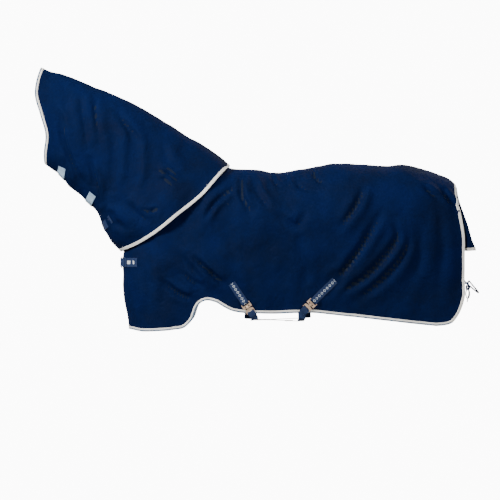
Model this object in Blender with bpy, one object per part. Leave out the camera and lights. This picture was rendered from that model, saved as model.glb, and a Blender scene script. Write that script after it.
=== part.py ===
"""Turnout rug with a neck cover, in its worn shape.

The horse faces -X, the near side faces -Y and +Z is up. The origin is the centre of the flat
underside of the wither pad. Every sheet is laid out on one grid of points for each panel, so the
shell, the lining and the bindings that clip over their edges stay parallel.
"""
import math
import bmesh
import bpy
import numpy as np
from mathutils import Vector
from mathutils.bvhtree import BVHTree

# Overall sizes, metres
BODY_LENGTH = 1.99
BODY_DEPTH = 0.94
BARREL_WIDTH = 0.60
# Sheet and webbing thicknesses
SHELL_THICKNESS = 0.003
LINING_THICKNESS = 0.002
BINDING_THICKNESS = 0.0015
BINDING_WIDTH = 0.017
TAPE_THICKNESS = 0.0008
FLAP_THICKNESS = 0.004
WEBBING_THICKNESS = 0.0018
# Straps
CHEST_STRAP_WIDTH = 0.052
UPPER_STRAP_WIDTH = 0.040
SURCINGLE_WIDTH = 0.042
THROAT_TAB_WIDTH = 0.048
# Metal bars and cord
BAR_RADIUS = 0.0025
PRONG_RADIUS = 0.0015
PLATE_THICKNESS = 0.0024
CORD_RADIUS = 0.0045
# Clearances
GAP = 0.0003
STRAP_LIFT = 0.0030
PATCH_LIFT = 0.0019
SEWN_LIFT = 0.0008
NECK_CLEARANCE = 0.015
SEAM_HALF_GAP = 0.00015
CHEST_EDGE_Y = 0.006
# Roundness of the back and of the chest
BACK_ROUNDING = 0.33
CHEST_ROUNDING = 0.28

# Side outlines, as fractions (x of BODY_LENGTH, z of BODY_DEPTH)
BACK_LINE = [
    (-0.1282, 0.1435), (-0.0991, 0.0972), (-0.0525, 0.0455), (-0.0329, 0.0370), (0.0000, 0.0331),
    (0.0291, 0.0250), (0.0918, 0.0178), (0.1312, 0.0296), (0.1574, 0.0339), (0.1982, 0.0366),
    (0.2285, 0.0561), (0.2740, 0.0722), (0.3089, 0.0784), (0.3585, 0.0703), (0.4547, 0.0531),
    (0.5101, 0.0444), (0.5538, 0.0185), (0.5917, -0.0216), (0.6150, -0.0586), (0.6193, -0.0679),
]
REAR_EDGE = [
    (0.6193, -0.0679), (0.6202, -0.1703), (0.6281, -0.2252), (0.6368, -0.3332), (0.6444, -0.4196),
    (0.6412, -0.4813), (0.6406, -0.6170), (0.6389, -0.7651), (0.6351, -0.8021), (0.6266, -0.8391),
    (0.6164, -0.8823), (0.6033, -0.9132),
]
HEM = [
    (-0.3425, -0.9595), (-0.3305, -0.9589), (-0.3008, -0.9687), (-0.2711, -0.9687),
    (-0.2116, -0.9595), (-0.1749, -0.9453), (-0.1588, -0.9255), (-0.1501, -0.8947),
    (-0.1414, -0.8453), (-0.1312, -0.7990), (-0.1195, -0.7787), (-0.1043, -0.7768),
    (-0.0836, -0.7861), (-0.0630, -0.8114), (-0.0391, -0.8367), (-0.0064, -0.8521),
    (0.0420, -0.8558), (0.1122, -0.8583), (0.1798, -0.8472), (0.2157, -0.8558), (0.2798, -0.8688),
    (0.3381, -0.8823), (0.4360, -0.9058), (0.5130, -0.9255), (0.5683, -0.9348), (0.5917, -0.9243),
    (0.6033, -0.9132),
]
CHEST_LINE = [
    (-0.3430, -0.3579), (-0.3490, -0.4443), (-0.3556, -0.5060), (-0.3559, -0.6232),
    (-0.3585, -0.6726), (-0.3573, -0.7343), (-0.3497, -0.8490), (-0.3454, -0.9120),
    (-0.3425, -0.9595),
]
NECKLINE = [
    (-0.3430, -0.3579), (-0.3221, -0.3455), (-0.2725, -0.2715), (-0.2157, -0.1635),
    (-0.1603, -0.0740), (-0.1006, 0.0093), (-0.0525, 0.0455),
]
CREST = [
    (-0.5960, 0.6614), (-0.5305, 0.6232), (-0.4605, 0.5640), (-0.3964, 0.5041), (-0.3323, 0.4393),
    (-0.2740, 0.3826), (-0.2157, 0.3085), (-0.1574, 0.2283), (-0.1078, 0.1573), (-0.0758, 0.1111),
    (-0.0423, 0.0545),
]
THROAT = [
    (-0.5829, 0.0716), (-0.5526, 0.0210), (-0.5246, -0.0401), (-0.4955, -0.0956),
    (-0.4663, -0.1580), (-0.4401, -0.2110), (-0.4226, -0.2777), (-0.4080, -0.3486),
    (-0.3906, -0.4103), (-0.3774, -0.4412), (-0.3600, -0.4751),
]
# Half width of the body along its length, as fractions of half the barrel width
WIDTHS = [
    (-0.3600, 0.80), (-0.2300, 0.84), (-0.1000, 0.92), (0.0500, 0.98), (0.2200, 1.0),
    (0.4000, 1.0), (0.5200, 0.90), (0.6000, 0.74), (0.6500, 0.64),
]
NECK_WIDTHS = [0.35, 0.37, 0.41, 0.47, 0.53, 0.60, 0.67, 0.74, 0.80, 0.84, 0.86]
# Bulge of the neck cover's front edge and rear edge along the edge, metres
POLL_EDGE = [(0.0, 0.0), (0.17, -0.031), (0.27, -0.038), (0.43, -0.020), (0.69, 0.014), (0.81, 0.009),
             (0.93, -0.007), (1.0, 0.0)]
APRON_EDGE = [(0.0, 0.0), (0.27, 0.042), (0.62, 0.051), (0.82, 0.045), (0.91, 0.024), (1.0, 0.0)]
# Columns of the body grid behind the chest rounding, fractions of BODY_LENGTH
SIDE_COLUMNS = [-0.205, -0.172, -0.152, -0.133, -0.110, -0.084, -0.0525, -0.040, 0.0, 0.040, 0.090,
                0.145, 0.200, 0.255, 0.310, 0.370, 0.430, 0.490, 0.545]
CHEST_ANGLES = [0.28, 0.55, 0.85, 1.20]
BACK_ANGLES = [0.25, 0.50, 0.80, 1.10]
SIDE_ROWS = [0.35, 0.50, 0.66, 0.83]
NECK_ROWS = [0.10, 0.22, 0.36, 0.50, 0.64, 0.78, 0.90]

STACK = SHELL_THICKNESS + GAP + LINING_THICKNESS
LINING_TOP = -SHELL_THICKNESS - GAP
TAPE_TOP = -STACK - GAP
PAD_TOP = TAPE_TOP - TAPE_THICKNESS - GAP
HALF_WEB = WEBBING_THICKNESS / 2
NECKLINE_END = len(CHEST_ANGLES) + 2 + SIDE_COLUMNS.index(-0.0525)
MIRROR = np.array([1.0, -1.0, 1.0])

MATERIALS = {
    "shell_fabric": ((0.010, 0.036, 0.088), 0.0, 0.72),
    "lining_fabric": ((0.020, 0.045, 0.090), 0.0, 0.62),
    "binding_tape": ((0.74, 0.72, 0.66), 0.0, 0.70),
    "navy_tape": ((0.012, 0.032, 0.075), 0.0, 0.70),
    "seam_tape": ((0.06, 0.07, 0.10), 0.0, 0.55),
    "fleece": ((0.68, 0.66, 0.62), 0.0, 0.95),
    "webbing": ((0.013, 0.045, 0.12), 0.0, 0.68),
    "pale_webbing": ((0.55, 0.66, 0.74), 0.0, 0.70),
    "reflective": ((0.72, 0.74, 0.76), 0.1, 0.35),
    "brass": ((0.72, 0.60, 0.44), 1.0, 0.30),
    "steel": ((0.62, 0.62, 0.62), 1.0, 0.32),
    "cord": ((0.011, 0.030, 0.080), 0.0, 0.75),
}


def scaled(table):
    """Turn an outline of fractions into metres."""
    return np.array(table) * np.array([BODY_LENGTH, BODY_DEPTH])


def z_on(outline, x):
    """Height of an outline at one x."""
    return float(np.interp(x, outline[:, 0], outline[:, 1]))


def x_on(outline, z):
    """Position along the body of a falling outline at one height."""
    return float(np.interp(-z, -outline[:, 1], outline[:, 0]))


BACK = scaled(BACK_LINE)
REAR = scaled(REAR_EDGE)
BOTTOM = scaled(HEM)
CHEST = scaled(CHEST_LINE)
NECK_EDGE = scaled(NECKLINE)


def rounded(depth, radius):
    """Quarter round: 0 at the outline, 1 once the depth reaches the radius."""
    share = min(max(depth / radius, 0.0), 1.0)
    return math.sqrt(1.0 - (1.0 - share) ** 2)


def side_width(x, z):
    """Half width of the body before its edges are rounded."""
    fractions = np.array(WIDTHS)
    base = float(np.interp(x, fractions[:, 0] * BODY_LENGTH, fractions[:, 1])) * BARREL_WIDTH / 2
    hang = 1.0 - 0.07 * min(max((-0.50 * BODY_DEPTH - z) / (0.45 * BODY_DEPTH), 0.0), 1.0)
    front = float(np.interp(x / BODY_LENGTH, [-0.22, 0.05], [0.42, 0.0]))
    rise = min(max((z / BODY_DEPTH + 0.53) / 0.75, 0.0), 1.0)
    return base * hang * (1.0 - front * rise)


def body_width(x, z):
    """Half width of the rug over the horse at a point of the side view."""
    throat = scaled(THROAT)
    along = throat[5] - throat[0]
    across = np.array([-along[1], along[0]]) / np.linalg.norm(along)
    throat_depth = float(np.dot(across, np.array([x, z]) - throat[5])) - 0.03
    chest_depth = x - x_on(CHEST, z)
    front = rounded(max(throat_depth, chest_depth), CHEST_ROUNDING)
    return side_width(x, z) * front * rounded(z_on(BACK, x) - z, BACK_ROUNDING)


def grid_normals(points, seam_rows):
    """Outward unit normals of a near side grid; the normals of seam_rows stay in the middle plane."""
    along = np.gradient(points, axis=0)
    down = np.gradient(points, axis=1)
    normals = np.cross(down, along)
    normals /= np.linalg.norm(normals, axis=2, keepdims=True)
    for column, row in seam_rows:
        normals[column, row, 1] = 0.0
        normals[column, row] /= np.linalg.norm(normals[column, row])
    return normals


def chest_x(angle, z):
    """Position of a chest column at one height."""
    return x_on(CHEST, z) + CHEST_ROUNDING * (1.0 - math.cos(angle))


def column_x(column, z):
    """Position of a body grid column at one height."""
    chest = chest_angles()
    if column < len(chest):
        return chest_x(chest[column], z)
    column -= len(chest)
    if column < len(SIDE_COLUMNS):
        return SIDE_COLUMNS[column] * BODY_LENGTH
    inset = [0.045 * BODY_LENGTH, BINDING_WIDTH, 0.0][column - len(SIDE_COLUMNS)]
    return x_on(REAR, z) - inset


def chest_angles():
    """Angles of the chest columns; the first two are the front edge and its binding line."""
    half = 0.80 * BARREL_WIDTH / 2
    start = CHEST_EDGE_Y / half
    return [start, start + BINDING_WIDTH / half] + CHEST_ANGLES


def settle(column, outline, start):
    """Find where a column meets an outline."""
    z = start
    for _ in range(12):
        z = z_on(outline, column_x(column, z))
    return z


def body_grid():
    """Points of the near side of the body rug, columns from the chest to the tail."""
    count = len(chest_angles()) + len(SIDE_COLUMNS) + 3
    depth = 0.86 * BODY_DEPTH / 0.94
    back = [BACK_ROUNDING * (1.0 - math.cos(angle)) / depth for angle in BACK_ANGLES] + SIDE_ROWS
    even = [(k + 1.2) / (len(back) + 1.4) for k in range(len(back))]
    rows = len(back) + 4
    points = np.zeros((count, rows, 3))
    for column in range(count):
        over_back = column >= NECKLINE_END
        top = settle(column, BACK if over_back else NECK_EDGE, 0.0 if over_back else -0.2 * BODY_DEPTH)
        bottom = settle(column, BOTTOM, -0.9 * BODY_DEPTH)
        if column == count - 1:
            top = float(REAR[0, 1])
            bottom = float(REAR[-1, 1])
        share = min(max((column - NECKLINE_END + 4) / 4.0, 0.0), 1.0)
        heights = [top]
        if over_back:
            angle = BINDING_WIDTH / side_width(column_x(column, top), top)
            heights.append(top - BACK_ROUNDING * (1.0 - math.cos(angle)))
        else:
            heights.append(top - BINDING_WIDTH)
        for first, second in zip(back, even):
            heights.append(top + (bottom - top) * (share * first + (1.0 - share) * second))
        heights.append(bottom + BINDING_WIDTH)
        heights.append(bottom)
        for row, z in enumerate(heights):
            x = column_x(column, z)
            if column < len(chest_angles()):
                width = side_width(x, z) * math.sin(chest_angles()[column])
            else:
                width = body_width(x, z)
            points[column, row] = (x, -width, z)
        if over_back:
            points[column, 0, 1] = -SEAM_HALF_GAP
    points[NECKLINE_END:, 0, 1] = -SEAM_HALF_GAP
    return points


def neck_station(share):
    """Crest point, throat point and half width of the neck cover at one share of its length."""
    place = share * (len(CREST) - 1)
    knots = range(len(CREST))
    crest = scaled(CREST)
    throat = scaled(THROAT)
    top = np.array([np.interp(place, knots, crest[:, 0]), np.interp(place, knots, crest[:, 1])])
    low = np.array([np.interp(place, knots, throat[:, 0]), np.interp(place, knots, throat[:, 1])])
    return top, low, float(np.interp(place, knots, NECK_WIDTHS)) * BARREL_WIDTH / 2


def neck_side_point(share, drop):
    """Side view point of the neck cover; drop is 0 at the crest and 1 at the throat."""
    top, low, _ = neck_station(share)
    spot = top + (low - top) * drop
    poll = np.array(POLL_EDGE)
    apron = np.array(APRON_EDGE)
    spot[0] += float(np.interp(drop, poll[:, 0], poll[:, 1])) * (1.0 - share) ** 3
    line = (low - top) / np.linalg.norm(low - top)
    across = np.array([-line[1], line[0]])
    return spot + across * float(np.interp(drop, apron[:, 0], apron[:, 1])) * share ** 3


def neck_width(share, turn, spot):
    """Half width of the neck cover, kept clear of the body rug below it."""
    _, _, half = neck_station(share)
    shape = math.sin(math.pi * turn) ** 0.85
    clear = NECK_CLEARANCE * min(1.0, 4.0 * shape)
    covered = body_width(spot[0], spot[1] - NECK_CLEARANCE)
    return max(half * shape, covered + clear if covered > 0.0 else 0.0)


def neck_grid():
    """Points of the near side of the neck cover, columns from the poll to the withers."""
    inset = BINDING_WIDTH / (0.58 * BODY_LENGTH)
    inner = [k / 10.0 for k in range(1, 10)]
    shares = [0.0, inset] + inner + [0.96, 1.0 - 0.6 * inset, 1.0]
    points = np.zeros((len(shares), len(NECK_ROWS) + 4, 3))
    for column, share in enumerate(shares):
        top, low, half = neck_station(share)
        edge = math.asin((BINDING_WIDTH / half) ** (1 / 0.85)) / math.pi
        turns = [0.0, edge] + NECK_ROWS + [1.0 - edge, 1.0]
        for row, turn in enumerate(turns):
            spot = neck_side_point(share, (1.0 - math.cos(math.pi * turn)) / 2)
            points[column, row] = (spot[0], -neck_width(share, turn, spot), spot[1])
        points[column, 0, 1] = -SEAM_HALF_GAP
        points[column, -1, 1] = -CHEST_EDGE_Y
    return points


def flap_grid():
    """Points of the tail flap from its near side edge round the tail to its off side edge."""
    middle = scaled([(0.6240, -0.0775), (0.6293, -0.1481), (0.6404, -0.2221), (0.6573, -0.3122),
                     (0.6705, -0.4035), (0.6808, -0.4600), (0.6818, -0.4700)])
    sides = scaled([(0.6225, -0.0800), (0.6245, -0.1481), (0.6335, -0.2221), (0.6410, -0.3122),
                    (0.6475, -0.4035), (0.6475, -0.4650), (0.6475, -0.4750)])
    halves = [0.055, 0.085, 0.115, 0.140, 0.155, 0.160, 0.160]
    angles = [-90, -60, -30, 0, 30, 60, 90]
    points = np.zeros((len(angles), len(middle), 3))
    for column, degrees in enumerate(angles):
        turn = math.radians(degrees)
        for row in range(len(middle)):
            side = sides[row] + (middle[row] - sides[row]) * math.cos(turn)
            points[column, row] = (side[0], halves[row] * math.sin(turn), side[1])
    return points


def material_of(name):
    """Material made once for each name."""
    found = bpy.data.materials.get(name)
    if found:
        return found
    colour, metal, rough = MATERIALS[name]
    made = bpy.data.materials.new(name)
    made.use_nodes = True
    shader = made.node_tree.nodes["Principled BSDF"]
    shader.inputs["Base Color"].default_value = (*colour, 1.0)
    shader.inputs["Metallic"].default_value = metal
    shader.inputs["Roughness"].default_value = rough
    made.diffuse_color = (*colour, 1.0)
    return made


def solid(name, points, faces, material, origin=(0.0, 0.0, 0.0)):
    """Add one closed object with its own material and its origin at the given point."""
    mesh = bpy.data.meshes.new(name)
    start = Vector(origin)
    mesh.from_pydata([Vector(p) - start for p in points], [], faces)
    work = bmesh.new()
    work.from_mesh(mesh)
    bmesh.ops.recalc_face_normals(work, faces=work.faces)
    work.to_mesh(mesh)
    work.free()
    made = bpy.data.objects.new(name, mesh)
    made.location = start
    kept = material_of(material).copy()
    kept.name = f"{material}_{name}"
    mesh.materials.append(kept)
    bpy.data.collections["turnout_rug"].objects.link(made)
    return made


def sheet(name, grid, low, high, material, columns=None, rows=None, mirror=False, origin=(0, 0, 0)):
    """Closed sheet between two offsets of a grid."""
    points, normals = grid
    first, last = columns or (0, points.shape[0] - 1)
    top, bottom = rows or (0, points.shape[1] - 1)
    part = points[first:last + 1, top:bottom + 1]
    out = normals[first:last + 1, top:bottom + 1]
    wide, tall = part.shape[:2]
    layers = [(part + out * offset).reshape(-1, 3) for offset in (high, low)]
    verts = np.concatenate(layers)
    if mirror:
        verts = verts * MIRROR
    size = wide * tall
    faces = []
    for i in range(wide - 1):
        for j in range(tall - 1):
            a, b = i * tall + j, (i + 1) * tall + j
            for base, flip in ((0, False), (size, True)):
                for face in ((a, b, b + 1), (a, b + 1, a + 1)):
                    face = tuple(k + base for k in face)
                    faces.append(face[::-1] if flip else face)
    rim = [i * tall for i in range(wide)]
    rim += [(wide - 1) * tall + j for j in range(1, tall)]
    rim += [i * tall + tall - 1 for i in range(wide - 2, -1, -1)]
    rim += [j for j in range(tall - 2, 0, -1)]
    for k, spot in enumerate(rim):
        after = rim[(k + 1) % len(rim)]
        faces.append((spot, after, after + size))
        faces.append((spot, after + size, spot + size))
    return solid(name, verts, faces, material, origin)


def edge_sections(grid, edge, inner, start, stop):
    """Sections of a grid edge between two places along it; places may be fractions."""
    points, normals = grid
    places = [start] + [k for k in range(math.floor(start) + 1, math.ceil(stop))] + [stop]
    sections = []
    for place in places:
        base = min(int(math.floor(place)), edge(points).shape[0] - 2)
        part = place - base
        values = []
        for line in (edge, inner):
            for source in (points, normals):
                row = line(source)
                values.append(row[base] * (1 - part) + row[base + 1] * part)
        sections.append(values)
    return sections


def binding(name, sections, stack, material, mirror=False, crossed=False, origin=(0, 0, 0)):
    """Folded tape that clips over an edge with a small gap all round."""
    verts = []
    runs = np.gradient(np.array([section[0] for section in sections]), axis=0)
    for run, (edge, edge_out, inner, inner_out) in zip(runs, sections):
        run = run / np.linalg.norm(run)
        away = (edge - inner) - run * np.dot(edge - inner, run)
        if abs(edge[1]) <= 2 * SEAM_HALF_GAP:
            away[1] = 0.0
        away = away / np.linalg.norm(away)
        near = edge + away * GAP
        far = edge + away * (GAP + BINDING_THICKNESS)
        high = GAP + BINDING_THICKNESS
        verts += [inner + inner_out * GAP, inner + inner_out * high, far + edge_out * high,
                  far - edge_out * (stack + high), inner - inner_out * (stack + high),
                  inner - inner_out * (stack + GAP), near - edge_out * (stack + GAP),
                  near + edge_out * GAP]
    faces = []
    for k in range(len(sections) - 1):
        for m in range(8):
            a, b = k * 8 + m, k * 8 + (m + 1) % 8
            c, d = b + 8, a + 8
            falls = m in (1, 5)
            if falls != crossed:
                faces += [(a, b, c), (a, c, d)]
            else:
                faces += [(a, b, d), (b, c, d)]
    for base in (0, (len(sections) - 1) * 8):
        for quad in ((0, 1, 2, 7), (7, 2, 3, 6), (6, 3, 4, 5)):
            faces.append(tuple(base + q for q in quad))
    verts = np.array(verts)
    if mirror:
        verts = verts * MIRROR
    return solid(name, verts, faces, material, origin)


def ribbon(name, path, sides, outs, widths, thickness, material, origin=(0, 0, 0)):
    """Flat strip along a path; sides point across it and outs point away from its face."""
    verts = []
    for spot, side, out, wide in zip(path, sides, outs, widths):
        spot, side, out = np.array(spot), np.array(side), np.array(out)
        for across, up in ((-1, -1), (1, -1), (1, 1), (-1, 1)):
            verts.append(spot + side * across * wide / 2 + out * up * thickness / 2)
    faces = [(0, 1, 2, 3), tuple(len(verts) - 4 + k for k in range(4))]
    for k in range(len(path) - 1):
        for m in range(4):
            a, b = k * 4 + m, k * 4 + (m + 1) % 4
            if m < 2:
                faces += [(a, b, b + 4), (a, b + 4, a + 4)]
            else:
                faces += [(a, b, a + 4), (b, b + 4, a + 4)]
    return solid(name, verts, faces, material, origin)


def flat_ribbon(name, path, side, width, thickness, material, origin=(0, 0, 0)):
    """Strip along a path whose across direction stays the same."""
    path = np.array(path)
    side = np.array(side) / np.linalg.norm(side)
    run = np.gradient(path, axis=0)
    outs = np.cross(run, side)
    outs /= np.linalg.norm(outs, axis=1, keepdims=True)
    return ribbon(name, path, [side] * len(path), outs, [width] * len(path), thickness, material, origin)


def tube(name, path, radius, sides, material, closed=False, origin=(0, 0, 0)):
    """Round bar or cord along a path."""
    path = [Vector(p) for p in path]
    count = len(path)
    runs = []
    for k in range(count):
        before = path[k - 1] if closed or k else path[0]
        after = path[(k + 1) % count] if closed or k < count - 1 else path[-1]
        runs.append((after - before).normalized())
    side = runs[0].orthogonal().normalized()
    frames = []
    for k, run in enumerate(runs):
        if k:
            side = (runs[k - 1].rotation_difference(run) @ side).normalized()
        frames.append(side.copy())
    twist = 0.0
    if closed:
        back = runs[-1].rotation_difference(runs[0]) @ frames[-1]
        twist = math.atan2(runs[0].dot(back.cross(frames[0])), back.dot(frames[0]))
    verts = []
    for k in range(count):
        other = runs[k].cross(frames[k])
        for m in range(sides):
            angle = 2 * math.pi * m / sides + twist * k / count
            verts.append(path[k] + (frames[k] * math.cos(angle) + other * math.sin(angle)) * radius)
    faces = []
    for k in range(count if closed else count - 1):
        for m in range(sides):
            a, b = k * sides + m, k * sides + (m + 1) % sides
            after = ((k + 1) % count) * sides
            faces.append((a, b, after + (m + 1) % sides, after + m))
    if not closed:
        faces += [tuple(range(sides)), tuple((count - 1) * sides + m for m in range(sides))]
    return solid(name, verts, faces, material, origin)


def loop_band(name, centre, across, out, along, half_wide, half_high, thickness, length, material,
              origin=(0, 0, 0)):
    """Band that closes round a strap, open along the strap."""
    centre, across, out, along = (np.array(v, float) for v in (centre, across, out, along))
    verts = []
    for end in (-0.5, 0.5):
        for grow in (0.0, thickness):
            for a, b in ((-1, -1), (1, -1), (1, 1), (-1, 1)):
                verts.append(centre + along * end * length + across * a * (half_wide + grow)
                             + out * b * (half_high + grow))
    faces = []
    for m in range(4):
        n = (m + 1) % 4
        faces += [(m, n, 4 + n, 4 + m), (8 + m, 8 + n, 12 + n, 12 + m), (m, n, 8 + n, 8 + m),
                  (4 + m, 4 + n, 12 + n, 12 + m)]
    return solid(name, verts, faces, material, origin)


def cutter(name, points, target):
    """Box cut out of a target; points are its eight corners."""
    mesh = bpy.data.meshes.new(name)
    faces = [(0, 1, 2, 3), (4, 7, 6, 5), (0, 4, 5, 1), (1, 5, 6, 2), (2, 6, 7, 3), (3, 7, 4, 0)]
    mesh.from_pydata([Vector(p) for p in points], [], faces)
    work = bmesh.new()
    work.from_mesh(mesh)
    bmesh.ops.recalc_face_normals(work, faces=work.faces)
    work.to_mesh(mesh)
    work.free()
    made = bpy.data.objects.new(name, mesh)
    made.hide_render = True
    made.display_type = "WIRE"
    bpy.data.collections["cutters"].objects.link(made)
    cut = target.modifiers.new(name, "BOOLEAN")
    cut.operation = "DIFFERENCE"
    cut.solver = "EXACT"
    cut.object = made


def box_corners(centre, u, v, w, half_u, half_v, half_w):
    """Eight corners of a box in its own directions."""
    centre, u, v, w = (np.array(k, float) for k in (centre, u, v, w))
    corners = []
    for c in (-1, 1):
        for a, b in ((-1, -1), (1, -1), (1, 1), (-1, 1)):
            corners.append(centre + u * a * half_u + v * b * half_v + w * c * half_w)
    return corners


def line_spot(grid, column, row, offset, mirror=False):
    """Point and normal at fractional places of a grid, lifted off it by an offset."""
    points, normals = grid
    i = min(int(column), points.shape[0] - 2)
    j = min(int(row), points.shape[1] - 2)
    a, b = column - i, row - j
    values = []
    for source in (points, normals):
        near = source[i, j] * (1 - b) + source[i, j + 1] * b
        far = source[i + 1, j] * (1 - b) + source[i + 1, j + 1] * b
        values.append(near * (1 - a) + far * a)
    out = values[1] / np.linalg.norm(values[1])
    spot = values[0] + out * offset
    return (spot * MIRROR, out * MIRROR) if mirror else (spot, out)


def chest_spot(grid, z, y, offset):
    """Point and normal on the chest at one height, either side of the middle."""
    points, normals = grid
    row_points, row_normals = [], []
    for column in range(len(chest_angles()) + 3):
        heights = -points[column, :, 2]
        row_points.append([np.interp(-z, heights, points[column, :, k]) for k in range(3)])
        row_normals.append([np.interp(-z, heights, normals[column, :, k]) for k in range(3)])
    row_points, row_normals = np.array(row_points), np.array(row_normals)
    reach = -row_points[:, 1]
    spot = np.array([np.interp(abs(y), reach, row_points[:, k]) for k in range(3)])
    out = np.array([np.interp(abs(y), reach, row_normals[:, k]) for k in range(3)])
    out /= np.linalg.norm(out)
    spot[1] = -abs(y)
    spot = spot + out * offset
    return (spot * MIRROR, out * MIRROR) if y > 0 else (spot, out)


def body_sheets(grid):
    """Shells and linings of the body rug."""
    for side, mirror in (("near", False), ("off", True)):
        sheet(f"outer_shell_{side}", grid, -SHELL_THICKNESS, 0.0, "shell_fabric", mirror=mirror)
        sheet(f"lining_{side}", grid, -STACK, LINING_TOP, "lining_fabric", mirror=mirror)


def body_bindings(grid):
    """Tapes over every edge of the body rug."""
    columns, rows = grid[0].shape[:2]
    short = 0.03
    for side, mirror in (("near", False), ("off", True)):
        hem = edge_sections(grid, lambda g: g[:, -1], lambda g: g[:, -2], 0, columns - 1)
        binding(f"hem_binding_{side}", hem, STACK, "binding_tape", mirror, False)
        front = edge_sections(grid, lambda g: g[0], lambda g: g[1], 1 + short, rows - 2 - short)
        binding(f"front_binding_{side}", front, STACK, "binding_tape", mirror, True)
        rear = edge_sections(grid, lambda g: g[-1], lambda g: g[-2], 0, rows - 2 - short)
        binding(f"rear_binding_{side}", rear, STACK, "binding_tape", mirror, False)
        neck = edge_sections(grid, lambda g: g[:, 0], lambda g: g[:, 1], 0, NECKLINE_END)
        binding(f"neckline_binding_{side}", neck, STACK + 2 * GAP, "navy_tape", mirror, True)


def ridge_tape(name, grid, start, stop, origin=(0, 0, 0)):
    """Seam tape under the linings along the middle seam."""
    verts = []
    places = [start] + [k for k in range(math.floor(start) + 1, math.ceil(stop))] + [stop]
    for place in places:
        low, low_out = line_spot(grid, place, 0.9, 0.0)
        top, top_out = line_spot(grid, place, 0.0, 0.0)
        top = top * np.array([1.0, 0.0, 1.0])
        for offset in (TAPE_TOP, TAPE_TOP - TAPE_THICKNESS):
            near = low + low_out * offset
            verts += [near, top + top_out * offset, near * MIRROR]
    faces = [(0, 1, 4, 3), (1, 2, 5, 4)]
    base = (len(places) - 1) * 6
    faces += [tuple(base + k for k in face) for face in faces]
    for k in range(len(places) - 1):
        for a, b in ((0, 1), (1, 2), (2, 5), (5, 4), (4, 3), (3, 0)):
            p, q = k * 6 + a, k * 6 + b
            faces += [(p, q, q + 6), (p, q + 6, p + 6)]
    return solid(name, verts, faces, "seam_tape", origin)


def wither_pad(grid):
    """Fleece pad under the withers with a flat underside at z = 0."""
    first = NECKLINE_END + 1
    verts, tall = [], 9
    for layer in (0, 1):
        for column in range(first, first + 3):
            strip = []
            for row in (4, 3, 2, 1, 0):
                spot, out = line_spot(grid, column, row, PAD_TOP)
                if row == 0:
                    spot = spot * np.array([1.0, 0.0, 1.0])
                if layer:
                    if row <= 2:
                        spot = np.array([spot[0], spot[1], 0.0])
                    else:
                        spot = spot - out * 0.010
                strip.append(spot)
            verts += strip + [spot * MIRROR for spot in strip[-2::-1]]
    size = 3 * tall
    faces = []
    for i in range(2):
        for j in range(tall - 1):
            a, b = i * tall + j, (i + 1) * tall + j
            split = ((a, b, b + 1), (a, b + 1, a + 1)) if j >= 4 else ((a, b, a + 1), (b, b + 1, a + 1))
            faces += split
            if 2 <= j <= 5:
                continue
            faces += [tuple(k + size for k in face) for face in split]
    faces.append(tuple(size + k for k in (2, 3, 4, 5, 6, 15, 24, 23, 22, 21, 20, 11)))
    rim = [i * tall for i in range(3)] + [2 * tall + j for j in range(1, tall)]
    rim += [tall + tall - 1, tall - 1] + [j for j in range(tall - 2, 0, -1)]
    for k, spot in enumerate(rim):
        after = rim[(k + 1) % len(rim)]
        faces.append((spot, after, after + size, spot + size))
    solid("wither_pad", verts, faces, "fleece")


def tail_flap(grid):
    """Tail flap behind the rump and the binding on its lower edge."""
    hinge = (0.6220 * BODY_LENGTH, 0.0, -0.0775 * BODY_DEPTH)
    sheet("tail_flap", grid, -FLAP_THICKNESS, 0.0, "shell_fabric", origin=hinge)
    low = edge_sections(grid, lambda g: g[:, -1], lambda g: g[:, -2], 0, grid[0].shape[0] - 1)
    binding("tail_flap_binding", low, FLAP_THICKNESS, "binding_tape", origin=hinge)


def neck_cover(grid, pivot):
    """Shells, linings, seam tape and edge tapes of the neck cover."""
    columns, rows = grid[0].shape[:2]
    short = 0.03
    for side, mirror in (("near", False), ("off", True)):
        sheet(f"neck_shell_{side}", grid, -SHELL_THICKNESS, 0.0, "shell_fabric", mirror=mirror,
              origin=pivot)
        sheet(f"neck_lining_{side}", grid, -STACK, LINING_TOP, "lining_fabric", mirror=mirror,
              origin=pivot)
        poll = edge_sections(grid, lambda g: g[0], lambda g: g[1], 0, rows - 1)
        binding(f"neck_front_binding_{side}", poll, STACK, "binding_tape", mirror, True, pivot)
        apron = edge_sections(grid, lambda g: g[-1], lambda g: g[-2], 0, rows - 1)
        binding(f"neck_rear_binding_{side}", apron, STACK, "binding_tape", mirror, False, pivot)
        under = edge_sections(grid, lambda g: g[:, -1], lambda g: g[:, -2], 1 + short,
                              columns - 2 - short)
        binding(f"throat_binding_{side}", under, STACK, "navy_tape", mirror, False, pivot)
    ridge_tape("crest_tape", grid, 1 + short, columns - 2 - short, pivot)


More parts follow.
